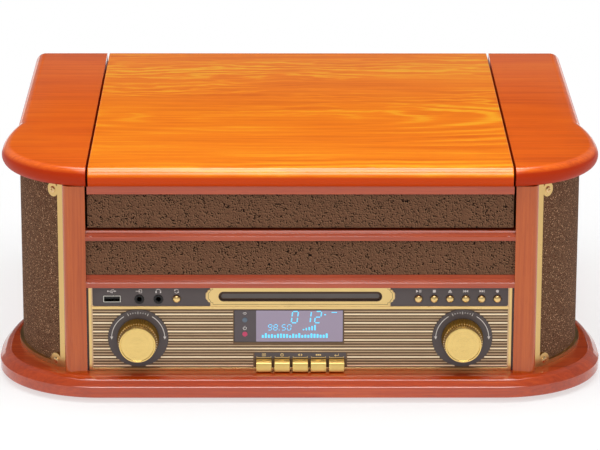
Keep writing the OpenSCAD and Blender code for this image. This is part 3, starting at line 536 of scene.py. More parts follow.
def hoop(made, rings):
    """Adds a closed ring through flat outlines of points, in millimetres, the last of which leads
    back to the first."""
    verts = [[made.verts.new(Vector(p) * MM) for p in ring] for ring in rings]
    for ring, after in zip(verts, verts[1:] + verts[:1]):
        for k in range(len(ring)):
            m = (k + 1) % len(ring)
            made.faces.new((ring[k], ring[m], after[m], after[k]))


def turned_ring(made, profile, centre, axis="Y", steps=96):
    """Adds a turned ring, whose closed profile is given as for lathe and stays off the axis."""
    hoop(made, [[turned(centre, axis, r, 2 * math.pi * i / steps, d) for r, d in profile]
                for i in range(steps)])


def turned(centre, axis, r, a, d):
    """Point at radius r and angle a round an axis through centre, and d along it; along Y, d counts
    forwards."""
    x, y, z = centre
    u, v = r * math.cos(a), r * math.sin(a)
    return {"X": (x + d, y + u, z + v), "Y": (x + u, y - d, z + v), "Z": (x + u, y + v, z + d)}[axis]


def arc(cx, cy, r, start, end, steps):
    """Points on an arc from one angle to another, in degrees."""
    return [(cx + r * math.cos(math.radians(start + (end - start) * i / steps)),
             cy + r * math.sin(math.radians(start + (end - start) * i / steps)))
            for i in range(steps + 1)]


def rounded(x0, z0, x1, z1, r, steps=5):
    """Outline of a rectangle with round corners."""
    return (arc(x1 - r, z0 + r, r, -90, 0, steps) + arc(x1 - r, z1 - r, r, 0, 90, steps)
            + arc(x0 + r, z1 - r, r, 90, 180, steps) + arc(x0 + r, z0 + r, r, 180, 270, steps))


def ribbon(points, width):
    """Outline of a line of that width along the points."""
    left, right = [], []
    for i, (x, z) in enumerate(points):
        ax, az = points[max(i - 1, 0)]
        bx, bz = points[min(i + 1, len(points) - 1)]
        length = math.hypot(bx - ax, bz - az)
        nx, nz = -(bz - az) / length * width / 2, (bx - ax) / length * width / 2
        left.append((x + nx, z + nz))
        right.append((x - nx, z - nz))
    return left + right[::-1]


def mirrored(half):
    """Whole outline from its right half."""
    return half + [(-x, z) for x, z in half[::-1]]


def moved(x, z, *outlines):
    """The outlines, shifted by x and z."""
    return [[(x + px, z + pz) for px, pz in outline] for outline in outlines]


def print_on(name, y, outlines, colour, thick):
    """Paint or inlay on a face that looks forwards: thin solids whose backs lie at y."""
    made = bmesh.new()
    for outline in outlines:
        prism(made, outline, y, y - thick)
    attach(add_object(name, made, paint[colour]), "case")


# ---------------------------------------------------------------- sizes, in millimetres, as in the CAD

BASE_TOP, CASE_TOP = 20.1, 176.6
HALF_W = 171.3
FASCIA_Y, PANEL_Y, CLOTH_Y = -180.4, -173.5, -177.4
PANEL_TOP, LOWER_RAIL_TOP, CLOTH_TOP = 92.0, 102.1, 131.5
LID_BOTTOM, LID_CLOTH_TOP, LID_HALF = 141.4, 170.2, 169.6
TRIM_HALF = 170.1
POST_W = 18.2
GRILLE_X, GRILLE_Y, GRILLE_R, FRAME_R = 127.0, -83.0, 102.2, 105.2
SIDE_FRONT = -31.9
KNOB_X, KNOB_Z = 130.4, 47.9
SLOT_Z, SOCKET_Z, KEY_Z = 82.9, 80.4, 25.4
DATA_SOCKET_X, LINE_IN_X, HEADPHONES_X, FUNCTION_X = -151.1, -129.2, -113.9, -99.3
BUTTON_X, BUTTON_PITCH = 94.8, 12.66
KEY_PITCH = 14.65
KEY_XS = [KEY_PITCH * i for i in range(-2, 3)]
WINDOW = (-53.35, 44.15, 34.65, 71.45)
STRIPED_TOP = 74.6
SHEET_FRONT = PANEL_Y - 0.4
SLOT_HALF, SLOT_R = 65.0, 3.45
DIAL_HOLE_R = 24.3
BACK_Y = 190.0


# ---------------------------------------------------------------- boards

def board_outline(x0, front, ear, waist, corner, run, back, inset):
    """Right half of a board, front to back: round corner, long flank, hollow, straight side."""
    flank, hollow, back_corner = 220.0, 8.0, 9.0
    cx, cy = ear - corner, front + corner
    sx, sy = ear - flank, cy + run
    hx = waist + hollow
    rise = math.sqrt((flank + hollow) ** 2 - (hx - sx) ** 2)
    tip = math.degrees(math.atan2(rise, hx - sx))
    start = -math.degrees(math.acos((x0 - cx) / (corner - inset))) if x0 > cx else -90.0
    points = (arc(cx, cy, corner - inset, start, 0, 40) + arc(sx, sy, flank - inset, 0, tip, 24)
              + arc(hx, sy + rise, hollow + inset, 180 + tip, 180, 6)
              + arc(waist - back_corner, back - back_corner, back_corner - inset, 0, 90, 10))
    return points + ([(x0, back - inset)] if x0 > cx else [])


def wing_boards():
    """Two boards with a full round edge, flat where they meet the lid."""
    r, steps = 8.25, 16
    for side, name in ((-1, "left_wing"), (1, "right_wing")):
        made = bmesh.new()
        rings = []
        for k in range(steps + 1):
            a = math.radians(-90 + 180 * k / steps)
            outline = board_outline(x0=HALF_W - 1.0, front=-187.4, ear=241.75, waist=233.75,
                                    corner=78.0, run=6.0, back=194.6, inset=r * (1 - math.cos(a)))
            rings.append([(side * x, y, CASE_TOP + r + r * math.sin(a)) for x, y in outline])
        loft(made, rings)
        board = add_object(name, made, paint["wing"], 35)
        soften(board, 0.0007, 3, 60)
        if side < 0:
            stand_in(board, "wing_boards")
        else:
            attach(board, "case")


def base_board():
    """Board on feet, whose edge has a bevelled shoulder and a crown above it."""
    made = bmesh.new()
    foot, inward, height = 4.0, 5.0, 6.2
    # how far inwards and upwards, as shares of inward and height
    shoulder = [(0, -0.12), (0.107, -0.047), (0.821, 0.64), (0.913, 0.702), (1.049, 0.77),
                (1.235, 0.831), (1.42, 0.89), (1.7, 0.96), (1.74, 1)]
    steps = [(1.5, foot), (0.45, foot + 0.45), (0.0, foot + 1.5)]
    steps += [(inward * u, BASE_TOP - height * (1 - v)) for u, v in shoulder]
    rings = []
    for inset, z in steps:
        half = board_outline(x0=0.0, front=-196.0, ear=246.5, waist=234.0, corner=85.0, run=12.6,
                             back=196.0, inset=inset)
        rings.append([(x, y, z) for x, y in mirrored(half)])
    loft(made, rings)
    stand_in(add_object("base_board", made, paint["base"], 7), "base_plate")


def slanted(points, *facets):
    """Goes on from the last point along flat facets, each with its length and the angle by which
    it leans back, in degrees."""
    for length, lean in facets:
        y, z = points[-1]
        points = points + [(y + length * math.sin(math.radians(lean)),
                            z + length * math.cos(math.radians(lean)))]
    return points


def front_rails():
    """Middle rail with one bevelled step, and the lower rail with two."""
    back, top = -162.4, 139.1
    middle = slanted([(FASCIA_Y, 134.9)], (0.6, 50), (2.4, 40), (0.35, 52), (0.5, 70))
    middle += [(-176.9, top), (back, top), (back, CLOTH_TOP), (FASCIA_Y, CLOTH_TOP)]
    lower = slanted([(FASCIA_Y, 96.0)], (0.6, 50), (1.3, 40), (0.4, 52), (0.6, 72), (1.4, 39))
    lower += [(CLOTH_Y + 0.6, LOWER_RAIL_TOP), (back, LOWER_RAIL_TOP), (back, PANEL_TOP),
              (FASCIA_Y, PANEL_TOP)]
    made = bmesh.new()
    for profile in (middle, lower):
        prism(made, profile, -HALF_W, HALF_W, "YZ")
    rails = stand_in(add_object("front_rails", made, paint["rail"], 7), "fascia_rails")
    soften(rails, 0.0001, 2, 8)


def seam_strips():
    """Dark red strips along the inner edge of each wing board, beside the lid, as painted shade in the
    seam.
    """
    made = bmesh.new()
    for side in (-1, 1):
        x0, x1 = sorted((side * (HALF_W - 1.0), side * (HALF_W - 1.4)))
        prism(made, rounded(x0, 177.2, x1, 183.5, 0.15, 2), -178.0, 194.0)
    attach(add_object("seam_shade_strips", made, paint["seam_shade"]), "case")


# ---------------------------------------------------------------- cloth

def cloth_strip(name, node, low, high, half, back):
    """Backing strip with cloth stretched over its front, turned in at the edges."""
    backing = rounded(-half, low, half, high, 0.3, 1)
    stand_in(slab(name + "_backing", backing, back, CLOTH_Y + 0.8, "board"), node)
    turn, thick = 1.0, 0.5
    profile = ([(CLOTH_Y + 2.2, low)] + [(CLOTH_Y + turn - turn * math.sin(math.radians(a)),
                                          low + turn - turn * math.cos(math.radians(a)))
                                         for a in range(0, 91, 18)])
    profile += [(y, low + high - z) for y, z in profile[::-1]]
    inner = [(y + thick if i not in (0, len(profile) - 1) else y,
              min(max(z, low + thick), high - thick)) for i, (y, z) in enumerate(profile)]
    cloth = slab(name + "_cloth", profile + inner[::-1], -half, half, "front_cloth", "YZ", 50)
    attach(cloth, NODES[node]["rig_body"])


def speaker_covers():
    """Perforated board bent round the speaker, with cloth stretched over it."""
    post = HALF_W + POST_W - GRILLE_X

    def bend(r):
        start = -math.degrees(math.acos(post / r))
        end = math.degrees(math.asin((SIDE_FRONT - GRILLE_Y) / r))
        return arc(GRILLE_X, GRILLE_Y, r, start, end, 64), math.radians(end - start)

    for side, name in ((-1, "left_speaker"), (1, "right_speaker")):
        for part, r_in, r_out, colour in (("shell", 99.2, 101.6, "board"),
                                          ("cloth", 101.6, GRILLE_R, "ear_cloth")):
            outer, turn = bend(r_out)
            outline = [(side * x, y) for x, y in outer + bend(r_in)[0][::-1]]
            cover = slab(name + "_" + part, outline, BASE_TOP, CASE_TOP, colour, "XY", 20)
            if side < 0 and part == "shell":
                stand_in(cover, "speaker_grilles")
            else:
                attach(cover, "case")
            if part == "cloth":
                r_out * turn * MM


# ---------------------------------------------------------------- control panel

LINES_HALF = TRIM_HALF - 3.3


def slot_outline(half, r):
    return arc(half - r, SLOT_Z, r, -90, 90, 14) + arc(r - half, SLOT_Z, r, 90, 270, 14)


def scalloped_end(tip=76.0, notch=72.4):
    """Half outline of the slot plate's end, from the striped field up to the panel's top."""
    low, high = STRIPED_TOP, PANEL_TOP
    step = (high - low - 7.6) / 2
    points = [(notch, low), (notch, low + step - 1.6)]
    points += arc(notch + 0.4, low + step + 0.2, 1.8, -90, 0, 5)[1:]
    points += arc(tip - 1.8, low + step + 2.2, 1.8, -60, 0, 4)
    return points + [(x, low + high - z) for x, z in points[::-1]]


def striped_sheet():
    """Brass sheet with its openings: the striped field, and above it the plate round the slot."""
    corner, r = 1.6, 2.0
    half = arc(TRIM_HALF - r, BASE_TOP + r, r, -90, 0, 6)
    half += arc(TRIM_HALF - r, PANEL_TOP - r, r, 0, 90, 6) + [(LINES_HALF, PANEL_TOP)]
    half += arc(LINES_HALF - corner, STRIPED_TOP + corner, corner, 0, -90, 5) + scalloped_end()
    sheet = slab("striped_sheet", mirrored(half), PANEL_Y, SHEET_FRONT, "sheet")
    holes = [arc(x, KNOB_Z, DIAL_HOLE_R, 0, 354, 59) for x in (-KNOB_X, KNOB_X)]
    holes += [slot_outline(SLOT_HALF, SLOT_R), rounded(*WINDOW, 0.3, 1)]
    holes += [rounded(x - 6.5, KEY_Z - 4.8, x + 6.5, KEY_Z + 4.8, 0.3, 1) for x in KEY_XS]
    carve(sheet, *[slab("cutter", hole, PANEL_Y + 1, PANEL_Y - 1, "sheet") for hole in holes])
    stand_in(sheet, "panel_trim")


def cut_bar(intervals, low, high):
    """The intervals with the part from low to high taken out."""
    kept = []
    for a, b in intervals:
        if high <= a or low >= b:
            kept.append((a, b))
        else:
            kept += [piece for piece in ((a, low), (high, b)) if piece[1] - piece[0] > 0.5]
    return kept


def raised_lines(name, rows, height, rise):
    """Raised lines across the striped field that stop at the dials, the window and the keys."""
    made = bmesh.new()
    for i in rows:
        z = BASE_TOP + 4.2 + 2.42 * i
        kept = [(-LINES_HALF, LINES_HALF)]
        drop = abs(z - KNOB_Z)
        if drop < DIAL_HOLE_R:
            reach = math.sqrt(DIAL_HOLE_R ** 2 - drop ** 2)
            for x in (-KNOB_X, KNOB_X):
                kept = cut_bar(kept, x - reach, x + reach)
        if WINDOW[1] - 1.5 < z < WINDOW[3] + 1.5:
            kept = cut_bar(kept, WINDOW[0] - 0.6, WINDOW[2] + 0.6)
        if z < 35.4:
            kept = cut_bar(kept, -37.8, 37.8)
        for a, b in kept:
            prism(made, rounded(a, z - height / 2, b, z + height / 2, 0.2, 2),
                  SHEET_FRONT, SHEET_FRONT - rise)
    lines = add_object(name, made, paint[name])
    soften(lines, 0.00012, 2)
    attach(lines, "case")


def border_strips():
    """Raised strips at the sheet's ends, its foot and the top of the striped field."""
    made = bmesh.new()
    for side in (-1, 1):
        outer, inner = side * (TRIM_HALF - 0.1), side * (TRIM_HALF - 2.3)
        prism(made, [(outer, BASE_TOP + 0.1), (outer, PANEL_TOP - 0.1), (inner, PANEL_TOP - 0.1),
                     (inner, BASE_TOP + 0.1)], SHEET_FRONT, SHEET_FRONT - 0.35)
    across = TRIM_HALF - 2.5
    for low, high, rise in ((BASE_TOP + 0.1, BASE_TOP + 2.3, 0.35),
                            (STRIPED_TOP - 2.4, STRIPED_TOP - 0.1, 0.4)):
        prism(made, rounded(-across, low, across, high, 0.3, 2), SHEET_FRONT, SHEET_FRONT - rise)
    strips = add_object("border_strips", made, paint["brass"])
    soften(strips, 0.0003, 3)
    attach(strips, "case")


def slotted(name, outline, start, end, colour):
    """A flat piece on the panel with the disc slot cut out of it."""
    thing = slab(name, outline, start, end, colour)
    hole = slot_outline(SLOT_HALF, SLOT_R)
    carve(thing, slab("cutter", hole, PANEL_Y + 1, PANEL_Y - 2, "plate"))
    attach(thing, "case")
    return thing


def slot_plate():
    """Plate round the disc slot with an engraved line, and a dark rim round the slot as painted shadow
    at its edge.
    """
    half = [(x, min(max(z, STRIPED_TOP + 0.1), PANEL_TOP - 0.15)) for x, z in scalloped_end(75.6, 72.0)]
    plate = slotted("slot_plate", mirrored(half), SHEET_FRONT, SHEET_FRONT - 0.4, "plate")
    soften(plate, 0.0003, 3)

    low, high = STRIPED_TOP + 1.7, PANEL_TOP - 1.7
    engraved = []
    for side in (-1, 1):
        line = [(side * (x - 2.2), z) for x, z in scalloped_end()
                if STRIPED_TOP + 1 < z < PANEL_TOP - 1]
        engraved.append(ribbon([(line[0][0], low)] + line + [(line[-1][0], high)], 0.3))
    for z in (low, high):
        engraved.append([(-70.2, z - 0.15), (70.2, z - 0.15), (70.2, z + 0.15), (-70.2, z + 0.15)])
    print_on("engraved_line", SHEET_FRONT - 0.4, engraved, "dark_brown", 0.02)
    # painted shadow: a dark ring laid round the slot where its edge is in shade
    rim = slot_outline(SLOT_HALF + 0.7, SLOT_R + 0.65)
    slotted("slot_rim_shadow", rim, SHEET_FRONT - 0.1, SHEET_FRONT - 0.55, "dark_brown")


def knob(name, x):
    """Fluted, tapering skirt behind a spun cap with a raised rim."""
    back, flute = 1.5, 0.7
    made = bmesh.new()
    turns = [2 * math.pi * i / 120 for i in range(120)]
    loft(made, [[(x + (r - flute * (i % 2)) * math.cos(a), PANEL_Y - d,
                  KNOB_Z + (r - flute * (i % 2)) * math.sin(a)) for i, a in enumerate(turns)]
                for d, r in ((back, 16.6), (back + 0.5, 17.0), (back + 9.6, 16.2), (back + 10.8, 15.0))])
    skirt = add_object(name + "_skirt", made, paint["skirt"], 20)
    stand_in(skirt, name)
    made = bmesh.new()
    front = back + 18.0
    lathe(made, [(0, back + 9), (14.6, back + 9), (14.8, back + 11.6), (14.8, front - 0.8),
                 (14.55, front - 0.2), (14.1, front), (13.5, front - 0.05), (13.2, front - 0.6),
                 (0, front - 0.75)], (x, PANEL_Y, KNOB_Z))
    cap = add_object(name + "_cap", made, paint[name + "_cap"], 40)
    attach(cap, NODES[name]["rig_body"])
    # painted highlight: a ring of small bright pieces at the front of the fluted skirt stands for the
    # glints on its flutes
    made = bmesh.new()
    glint_count = 48
    for i in range(glint_count):
        a = 2 * math.pi * (i + 0.5) / glint_count
        glint = arc(x + 15.4 * math.cos(a), KNOB_Z + 15.4 * math.sin(a), 0.4, 0, 315, 7)
        prism(made, glint, PANEL_Y - back - 9.4, PANEL_Y - back - 11.0)
    flute_glints = add_object(name + "_beads", made, paint["bright_lines"], 60)
    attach(flute_glints, NODES[name]["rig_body"])


def dial_print():
    """Two arrows round each dial, with tick marks between them."""
    outlines = []
    reach = 21.4
    for x in (-KNOB_X, KNOB_X):
        for start, end in ((122, 178), (58, 2)):
            outlines.append(ribbon(arc(x, KNOB_Z, reach, start, end, 16), 0.55))
            a = math.radians(end)
            tip = (x + reach * math.cos(a), KNOB_Z + reach * math.sin(a) - 1.9)
            outlines.append([tip, (tip[0] + 1.25, tip[1] + 2.5), (tip[0] - 1.25, tip[1] + 2.5)])
        for k in range(9):
            a = math.radians(68 + 5.5 * k)
            inner, outer = (20.2, 22.4) if k % 4 == 0 else (20.9, 21.9)
            outlines.append(ribbon([(x + r * math.cos(a), KNOB_Z + r * math.sin(a))
                                    for r in (inner, outer)], 0.45))
    print_on("dial_marks", PANEL_Y - 1.2, outlines, "white_ink", 0.05)


# Seven-segment shapes: which of the segments top, upper right, lower right, bottom, lower left,
# upper left and middle are lit for each figure
FIGURES = {"0": "111111 ", "1": " 11    ", "2": "11 11 1", "3": "1111  1", "4": " 11  11",
           "5": "1 11 11", "8": "1111111", "9": "1111 11"}


def figure(digit, x, z, w, h, t, slant):
    """Outlines of one figure with its lower left corner at x, z."""
    m, g = h / 2, t * 0.62
    spans = [((g, h), (w - g, h)), ((w, h - g), (w, m + g)), ((w, m - g), (w, g)), ((g, 0), (w - g, 0)),
             ((0, m - g), (0, g)), ((0, h - g), (0, m + g)), ((g, m), (w - g, m))]
    shapes = []
    for lit, ((ax, az), (bx, bz)) in zip(FIGURES[digit], spans):
        if lit == "1":
            shapes.append([(x + px + pz * slant, z + pz) for px, pz in ribbon([(ax, az), (bx, bz)], t)])
    return shapes


def display():
    """Lit screen behind a window, with a dark field for the remote's sensor and the power lamp."""
    x0, z0, x1, z1 = WINDOW
    y = PANEL_Y - 0.35
    outline = rounded(x0 + 0.3, z0 + 0.3, x1 - 0.3, z1 - 0.3, 0.4, 2)
    stand_in(slab("display_body", outline, PANEL_Y + 3.0, y, "screen_frame"), "display_window")
    print_on("screen", y, [rounded(-35.5, z0 + 0.5, x1 - 0.5, z1 - 0.5, 0.3, 2)], "screen", 0.03)
    lit = []
    for digit, x in (("0", -7.3), ("1", 3.2), ("2", 11.4)):
        lit += figure(digit, x, 60.6, 4.6, 9.6, 0.95, 0.12)
    for digit, x in (("9", -26.0), ("8", -21.6), ("5", -15.0), ("0", -10.6)):
        lit += figure(digit, x, 54.4, 2.8, 4.6, 0.55, 0.12)
    lit += [rounded(19.2, 67.0, 20.6, 67.9, 0.2, 1), rounded(25.0, 69.0, 29.5, 69.7, 0.2, 1),
            rounded(-17.3, 54.1, -16.6, 54.8, 0.1, 1)]
    for k in range(5):
        lit.append(rounded(2.0 + 2.3 * k, 54.2, 3.2 + 2.3 * k, 55.4 + 0.85 * k, 0.15, 1))
    for k in range(22):
        height = 1.5 + 1.3 * abs(math.sin(1.7 * k)) + 1.2 * abs(math.sin(0.6 * k + 1))
        lit.append(rounded(-31.0 + 2.45 * k, 47.8, -29.4 + 2.45 * k, 47.8 + height, 0.15, 1))
    print_on("screen_figures", y - 0.03, lit, "cyan", 0.03)
    x = -44.6
    for name, colour, z in (("remote_sensor", "sensor", 63.0), ("power_lamp", "power_lamp", 51.0)):
        made = bmesh.new()
        lathe(made, [(0, 0), (2.1, 0), (2.0, 0.35), (1.2, 0.6), (0, 0.7)], (x, y, z), steps=32)
        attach(add_object(name, made, paint[colour], 40), "case")
    marks = [ribbon(arc(x, 67.2, 2.0, 40, 140, 5), 0.4), ribbon(arc(x, 67.0, 1.1, 40, 140, 4), 0.4),
             ribbon(arc(x, 56.0, 1.3, 130, 410, 14), 0.4), ribbon([(x, 56.2), (x, 57.9)], 0.4)]
    print_on("display_marks", y, marks, "white_ink", 0.03)


def pictograms():
    """Plain signs over the sockets and buttons."""
    fork = [ribbon([(-3.0, 0), (2.2, 0)], 0.4), [(3.6, 0), (2.0, 0.8), (2.0, -0.8)],
            ribbon([(-1.2, 0), (0, 1.3), (0.9, 1.3)], 0.35), rounded(0.7, 0.9, 1.5, 1.7, 0.1, 1),
            ribbon([(-2.0, 0), (-0.9, -1.2), (-0.1, -1.2)], 0.35), arc(0.2, -1.2, 0.5, 0, 315, 7),
            arc(-3.2, 0, 0.7, 0, 315, 7)]
    arrow_into_box = [ribbon([(-0.3, 1.4), (2.0, 1.4), (2.0, -1.4), (-0.3, -1.4)], 0.4),
                      ribbon([(-2.8, 0), (-0.2, 0)], 0.4), [(1.0, 0), (-0.4, 0.9), (-0.4, -0.9)]]
    headphones = [ribbon(arc(0, -0.3, 1.9, 0, 180, 14), 0.45), rounded(-2.3, -1.6, -1.3, 0.1, 0.3, 2),
                  rounded(1.3, -1.6, 2.3, 0.1, 0.3, 2)]
    turning_arrows = []
    for turn in (0, 180):
        turning_arrows.append(ribbon(arc(0, 0, 1.6, turn + 20, turn + 140, 10), 0.4))
        a = math.radians(turn + 150)
        turning_arrows.append([(1.6 * math.cos(a) + 0.9 * math.cos(a + k),
                                1.6 * math.sin(a) + 0.9 * math.sin(a + k))
                               for k in (math.pi / 2, -2.6, -0.5)])
    play = [[(-2.0, -1.2), (0.1, 0), (-2.0, 1.2)],
            rounded(0.6, -1.2, 1.1, 1.2, 0.1, 1), rounded(1.6, -1.2, 2.1, 1.2, 0.1, 1)]
    stop = [rounded(-1.15, -1.15, 1.15, 1.15, 0.1, 1)]
    eject = [[(-1.5, -0.4), (1.5, -0.4), (0, 1.3)], rounded(-1.5, -1.3, 1.5, -0.8, 0.1, 1)]
    skips = []
    for way in (-1, 1):
        skips.append([[(way * (shift - 0.9), -1.1), (way * (shift + 0.9), 0), (way * (shift - 0.9), 1.1)]
                      for shift in (-0.9, 0.9)])
        skips[-1].append(rounded(way * 2.0 - 0.2, -1.1, way * 2.0 + 0.2, 1.1, 0.05, 1))
    record = [arc(0, 0, 1.2, 0, 345, 23)]

    rows = [(DATA_SOCKET_X, fork), (LINE_IN_X, arrow_into_box), (HEADPHONES_X, headphones),
            (FUNCTION_X, turning_arrows)]
    rows += [(BUTTON_X + BUTTON_PITCH * i, sign)
             for i, sign in enumerate([play, stop, eject, *skips, record])]
    signs = [outline for x, sign in rows for outline in moved(x, 87.2, *sign)]
    print_on("panel_signs", PANEL_Y, signs, "white_ink", 0.04)


def key_strip():
    """Dark strip over the bar keys, with a small brass bracket and a sign over each key."""
    print_on("key_strip", SHEET_FRONT, [rounded(-36.9, 30.8, 36.9, 35.3, 0.3, 2)], "panel", 0.15)
    bracket = [rounded(-5.6, 0, 5.6, 0.4, 0.05, 1), rounded(-5.9, 0, -5.5, 1.15, 0.05, 1),
               rounded(5.5, 0, 5.9, 1.15, 0.05, 1)]
    menu = [rounded(-1.6, k - 0.2, 1.6, k + 0.2, 0.05, 1) for k in (-0.9, 0, 0.9)]
    info = [ribbon(arc(0, 0, 1.25, 0, 360, 20), 0.35), rounded(-0.25, -0.7, 0.25, 0.15, 0.05, 1),
            rounded(-0.25, 0.4, 0.25, 0.8, 0.05, 1)]
    scan = [[(way * 1.9, 0), (way * 0.5, 1.1), (way * 0.5, -1.1)] for way in (-1, 1)]
    presets = [rounded(-2.1 + 1.5 * k, -0.6, -0.9 + 1.5 * k, 0.6, 0.1, 1) for k in range(3)]
    enter = [ribbon([(1.6, 1.0), (1.6, -0.5), (-0.8, -0.5)], 0.4),
             [(-1.9, -0.5), (-0.6, 0.5), (-0.6, -1.5)]]
    brackets, signs = [], []
    for x, sign in zip(KEY_XS, (menu, info, scan, presets, enter)):
        brackets += moved(x, 30.95, *bracket)
        signs += moved(x, 33.4, *sign)
    print_on("key_brackets", SHEET_FRONT - 0.15, brackets, "brass", 0.12)
    print_on("key_signs", SHEET_FRONT - 0.15, signs, "brass", 0.05)


def sockets():
    """Data socket with its tongue, and two black jacks with a ring and a nut behind the panel."""
    x = DATA_SOCKET_X
    outer, inner = [rounded(x - 7.0 + wall, 78.0 + wall, x + 7.0 - wall, 83.6 - wall, r, 3)
                    for wall, r in ((0, 0.6), (0.6, 0.4))]
    shell = slab("data_socket", outer, PANEL_Y + 10, PANEL_Y - 0.6, "socket")
    carve(shell, slab("cutter", inner, PANEL_Y + 9, PANEL_Y - 2, "socket"))
    stand_in(shell, "front_sockets")
    made = bmesh.new()
    prism(made, rounded(x - 6.3, 78.7, x + 6.3, 82.9, 0.3, 1), PANEL_Y + 9, PANEL_Y + 6)
    prism(made, rounded(x - 5.4, 80.9, x + 5.4, 82.6, 0.2, 1), PANEL_Y + 6, PANEL_Y + 0.4)
    for jack_x in (LINE_IN_X, HEADPHONES_X):
        turned_ring(made, [(1.9, -8.0), (3.9, -8.0), (3.9, 0.3), (3.6, 0.7), (2.4, 0.7), (1.9, 0.2)],
                    (jack_x, PANEL_Y, SOCKET_Z), "Y", 48)
    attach(add_object("socket_insides", made, paint["dark_hole"], 40), "case")


def bar_keys():
    """Keys with an upright face, a top that slopes up to the panel and a stem behind it."""
    low, top = KEY_Z - 4.5, KEY_Z + 4.5
    front, collar, stem, back = -180.5, -170.2, -168.7, -165.3
    profile = [(front, low + 0.3), (front, low + 6.9), (front + 0.12, low + 7.3),
               (front + 0.4, low + 7.6), (front + 4.6, top), (collar, top), (collar, top + 1),
               (stem, top + 1), (stem, KEY_Z + 2), (back, KEY_Z + 2), (back, KEY_Z - 2),
               (stem, KEY_Z - 2), (stem, low), (front + 0.3, low)]
    for number, x in enumerate(KEY_XS, 1):
        key = slab(f"bar_key_{number}", profile, x - 6.2, x + 6.2, "key", "YZ", 30)
        soften(key, 0.0004, 3, 40)
        stand_in(key, f"key_{number}")


def tray_edge_shadow():
    """Dark line round the tray's front, painted shadow cast by the slot's edge."""
    made = bmesh.new()
    front = -172.7
    outer, inner = [slot_outline(SLOT_HALF - inset, SLOT_R - inset) for inset in (0.5, 1.5)]
    hoop(made, [[(a, front, b), (c, front, d), (c, front - 0.1, d), (a, front - 0.1, b)]
                for (a, b), (c, d) in zip(outer, inner)])
    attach(add_object("tray_edge_shadow", made, paint["dark_brown"]), NODES["disc_tray"]["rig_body"])


# ---------------------------------------------------------------- turntable

DECK_TOP, MAT_LOW, MAT_TOP = 128.1, 139.1, 141.1
PLATTER = (-12.0, 5.0, 0.0)
ARM = (138.0, 116.0, 152.1)


def grooved_mat():
    """Rubber mat with rings of ridges and a sunk label area."""
    profile = [(4.6, MAT_LOW), (98.0, MAT_LOW), (98.0, MAT_TOP - 0.4), (97.6, MAT_TOP)]
    groove = MAT_TOP - 0.35
    for k in range(15):
        r = 97.6 - 3.0 * k
        profile += [(r - 2.0, MAT_TOP), (r - 2.2, groove), (r - 2.8, groove), (r - 3.0, MAT_TOP)]
    profile += [(50.2, MAT_TOP), (50.0, MAT_TOP - 0.6), (4.6, MAT_TOP - 0.6)]
    made = bmesh.new()
    turned_ring(made, profile, PLATTER, "Z", 128)
    stand_in(add_object("grooved_mat", made, paint["rubber"], 30), "platter_mat")


def arm_pieces():
    """Tube with a collar, pivot block, counterweight, and a headshell with its finger lift."""
    body = NODES["tonearm"]["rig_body"]
    made = bmesh.new()
    lathe(made, [(0, -10), (3.7, -10), (4.0, -9.5), (4.0, 160), (4.4, 160.5), (4.4, 161.6),
                 (4.1, 162), (4.4, 162.4), (4.4, 166.5), (3.9, 167), (3.6, 171), (3.6, 179),
                 (0, 179)], ARM, steps=48)
    stand_in(add_object("arm_tube", made, paint["arm"], 30), "tonearm")
    made = bmesh.new()
    x, y, z = ARM
    prism(made, rounded(x - 6.7, z - 5, x + 6.7, z + 5, 1.5, 4), y - 9, y + 9)
    lathe(made, [(0, -9.5), (1.5, -9.5), (1.5, 9.5), (0, 9.5)], ARM, "X", 24)
    lathe(made, [(0, -15), (3, -15), (3, -8), (0, -8)], ARM, steps=32)
    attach(add_object("arm_block", made, paint["black"], 30), body)
    made = bmesh.new()
    profile = [(0, -25), (7.2, -25), (8, -24.2)]
    for d in (-22.5, -20.5, -18.5, -16.5):
        profile += [(8, d - 0.4), (7.6, d - 0.2), (7.6, d + 0.2), (8, d + 0.4)]
    lathe(made, profile + [(8, -13.8), (7.2, -13), (0, -13)], ARM, steps=64)
    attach(add_object("counterweight", made, paint["dark_metal"], 30), body)
    made = bmesh.new()
    outline = [(-4, 3), (4, 3), (8, -8), (8, -24), (5, -27), (-5, -27), (-8, -24), (-8, -8)]
    turn = math.radians(-20)

    def placed(points):
        return [(x + px * math.cos(turn) - py * math.sin(turn),
                 y - 176 + px * math.sin(turn) + py * math.cos(turn)) for px, py in points]

    prism(made, placed(outline), z - 3, z, "XY")
    prism(made, placed([(7.5, -22), (15, -22), (15, -20), (7.5, -20)]), z - 3, z - 1.5, "XY")
    head = add_object("headshell", made, paint["black"])
    soften(head, 0.0006, 3)
    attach(head, body)


def deck_print():
    """The two speeds beside their switch."""
    made = bmesh.new()
    for text, x in (("33", 134.0), ("45", 143.6)):
        for k, digit in enumerate(text):
            for outline in figure(digit, x + 3.6 * k, -118.5, 2.4, 4.2, 0.5, 0.1):
                prism(made, outline, DECK_TOP - 0.01, DECK_TOP + 0.05, "XY")
    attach(add_object("deck_print", made, paint["white_ink"]), "case")


# ---------------------------------------------------------------- screws and sockets at the back

def cross_head(made, cutter, centre, out, r):
    """Round screw head with a cross recess: the head goes into made, the recess into cutter."""
    up = Vector((0, 1, 0)) if abs(out.z) > 0.5 else Vector((0, 0, 1))
    along = up.cross(out)

    def ring(d, corners):
        return [centre + out * d + along * u + up * w for u, w in corners]

    loft(made, [ring(d * r, arc(0, 0, k * r, 0, 348.75, 31))
                for k, d in ((1.0, -0.1), (1.0, 0.12), (0.88, 0.25), (0.62, 0.35), (0.3, 0.38))])
    t, w = 0.12 * r, 0.58 * r
    cross = [(t, w), (t, t), (w, t), (w, -t), (t, -t), (t, -w)]
    loft(cutter, [ring(d * r, cross + [(-u, -v) for u, v in cross]) for d in (0.16, 0.6)])


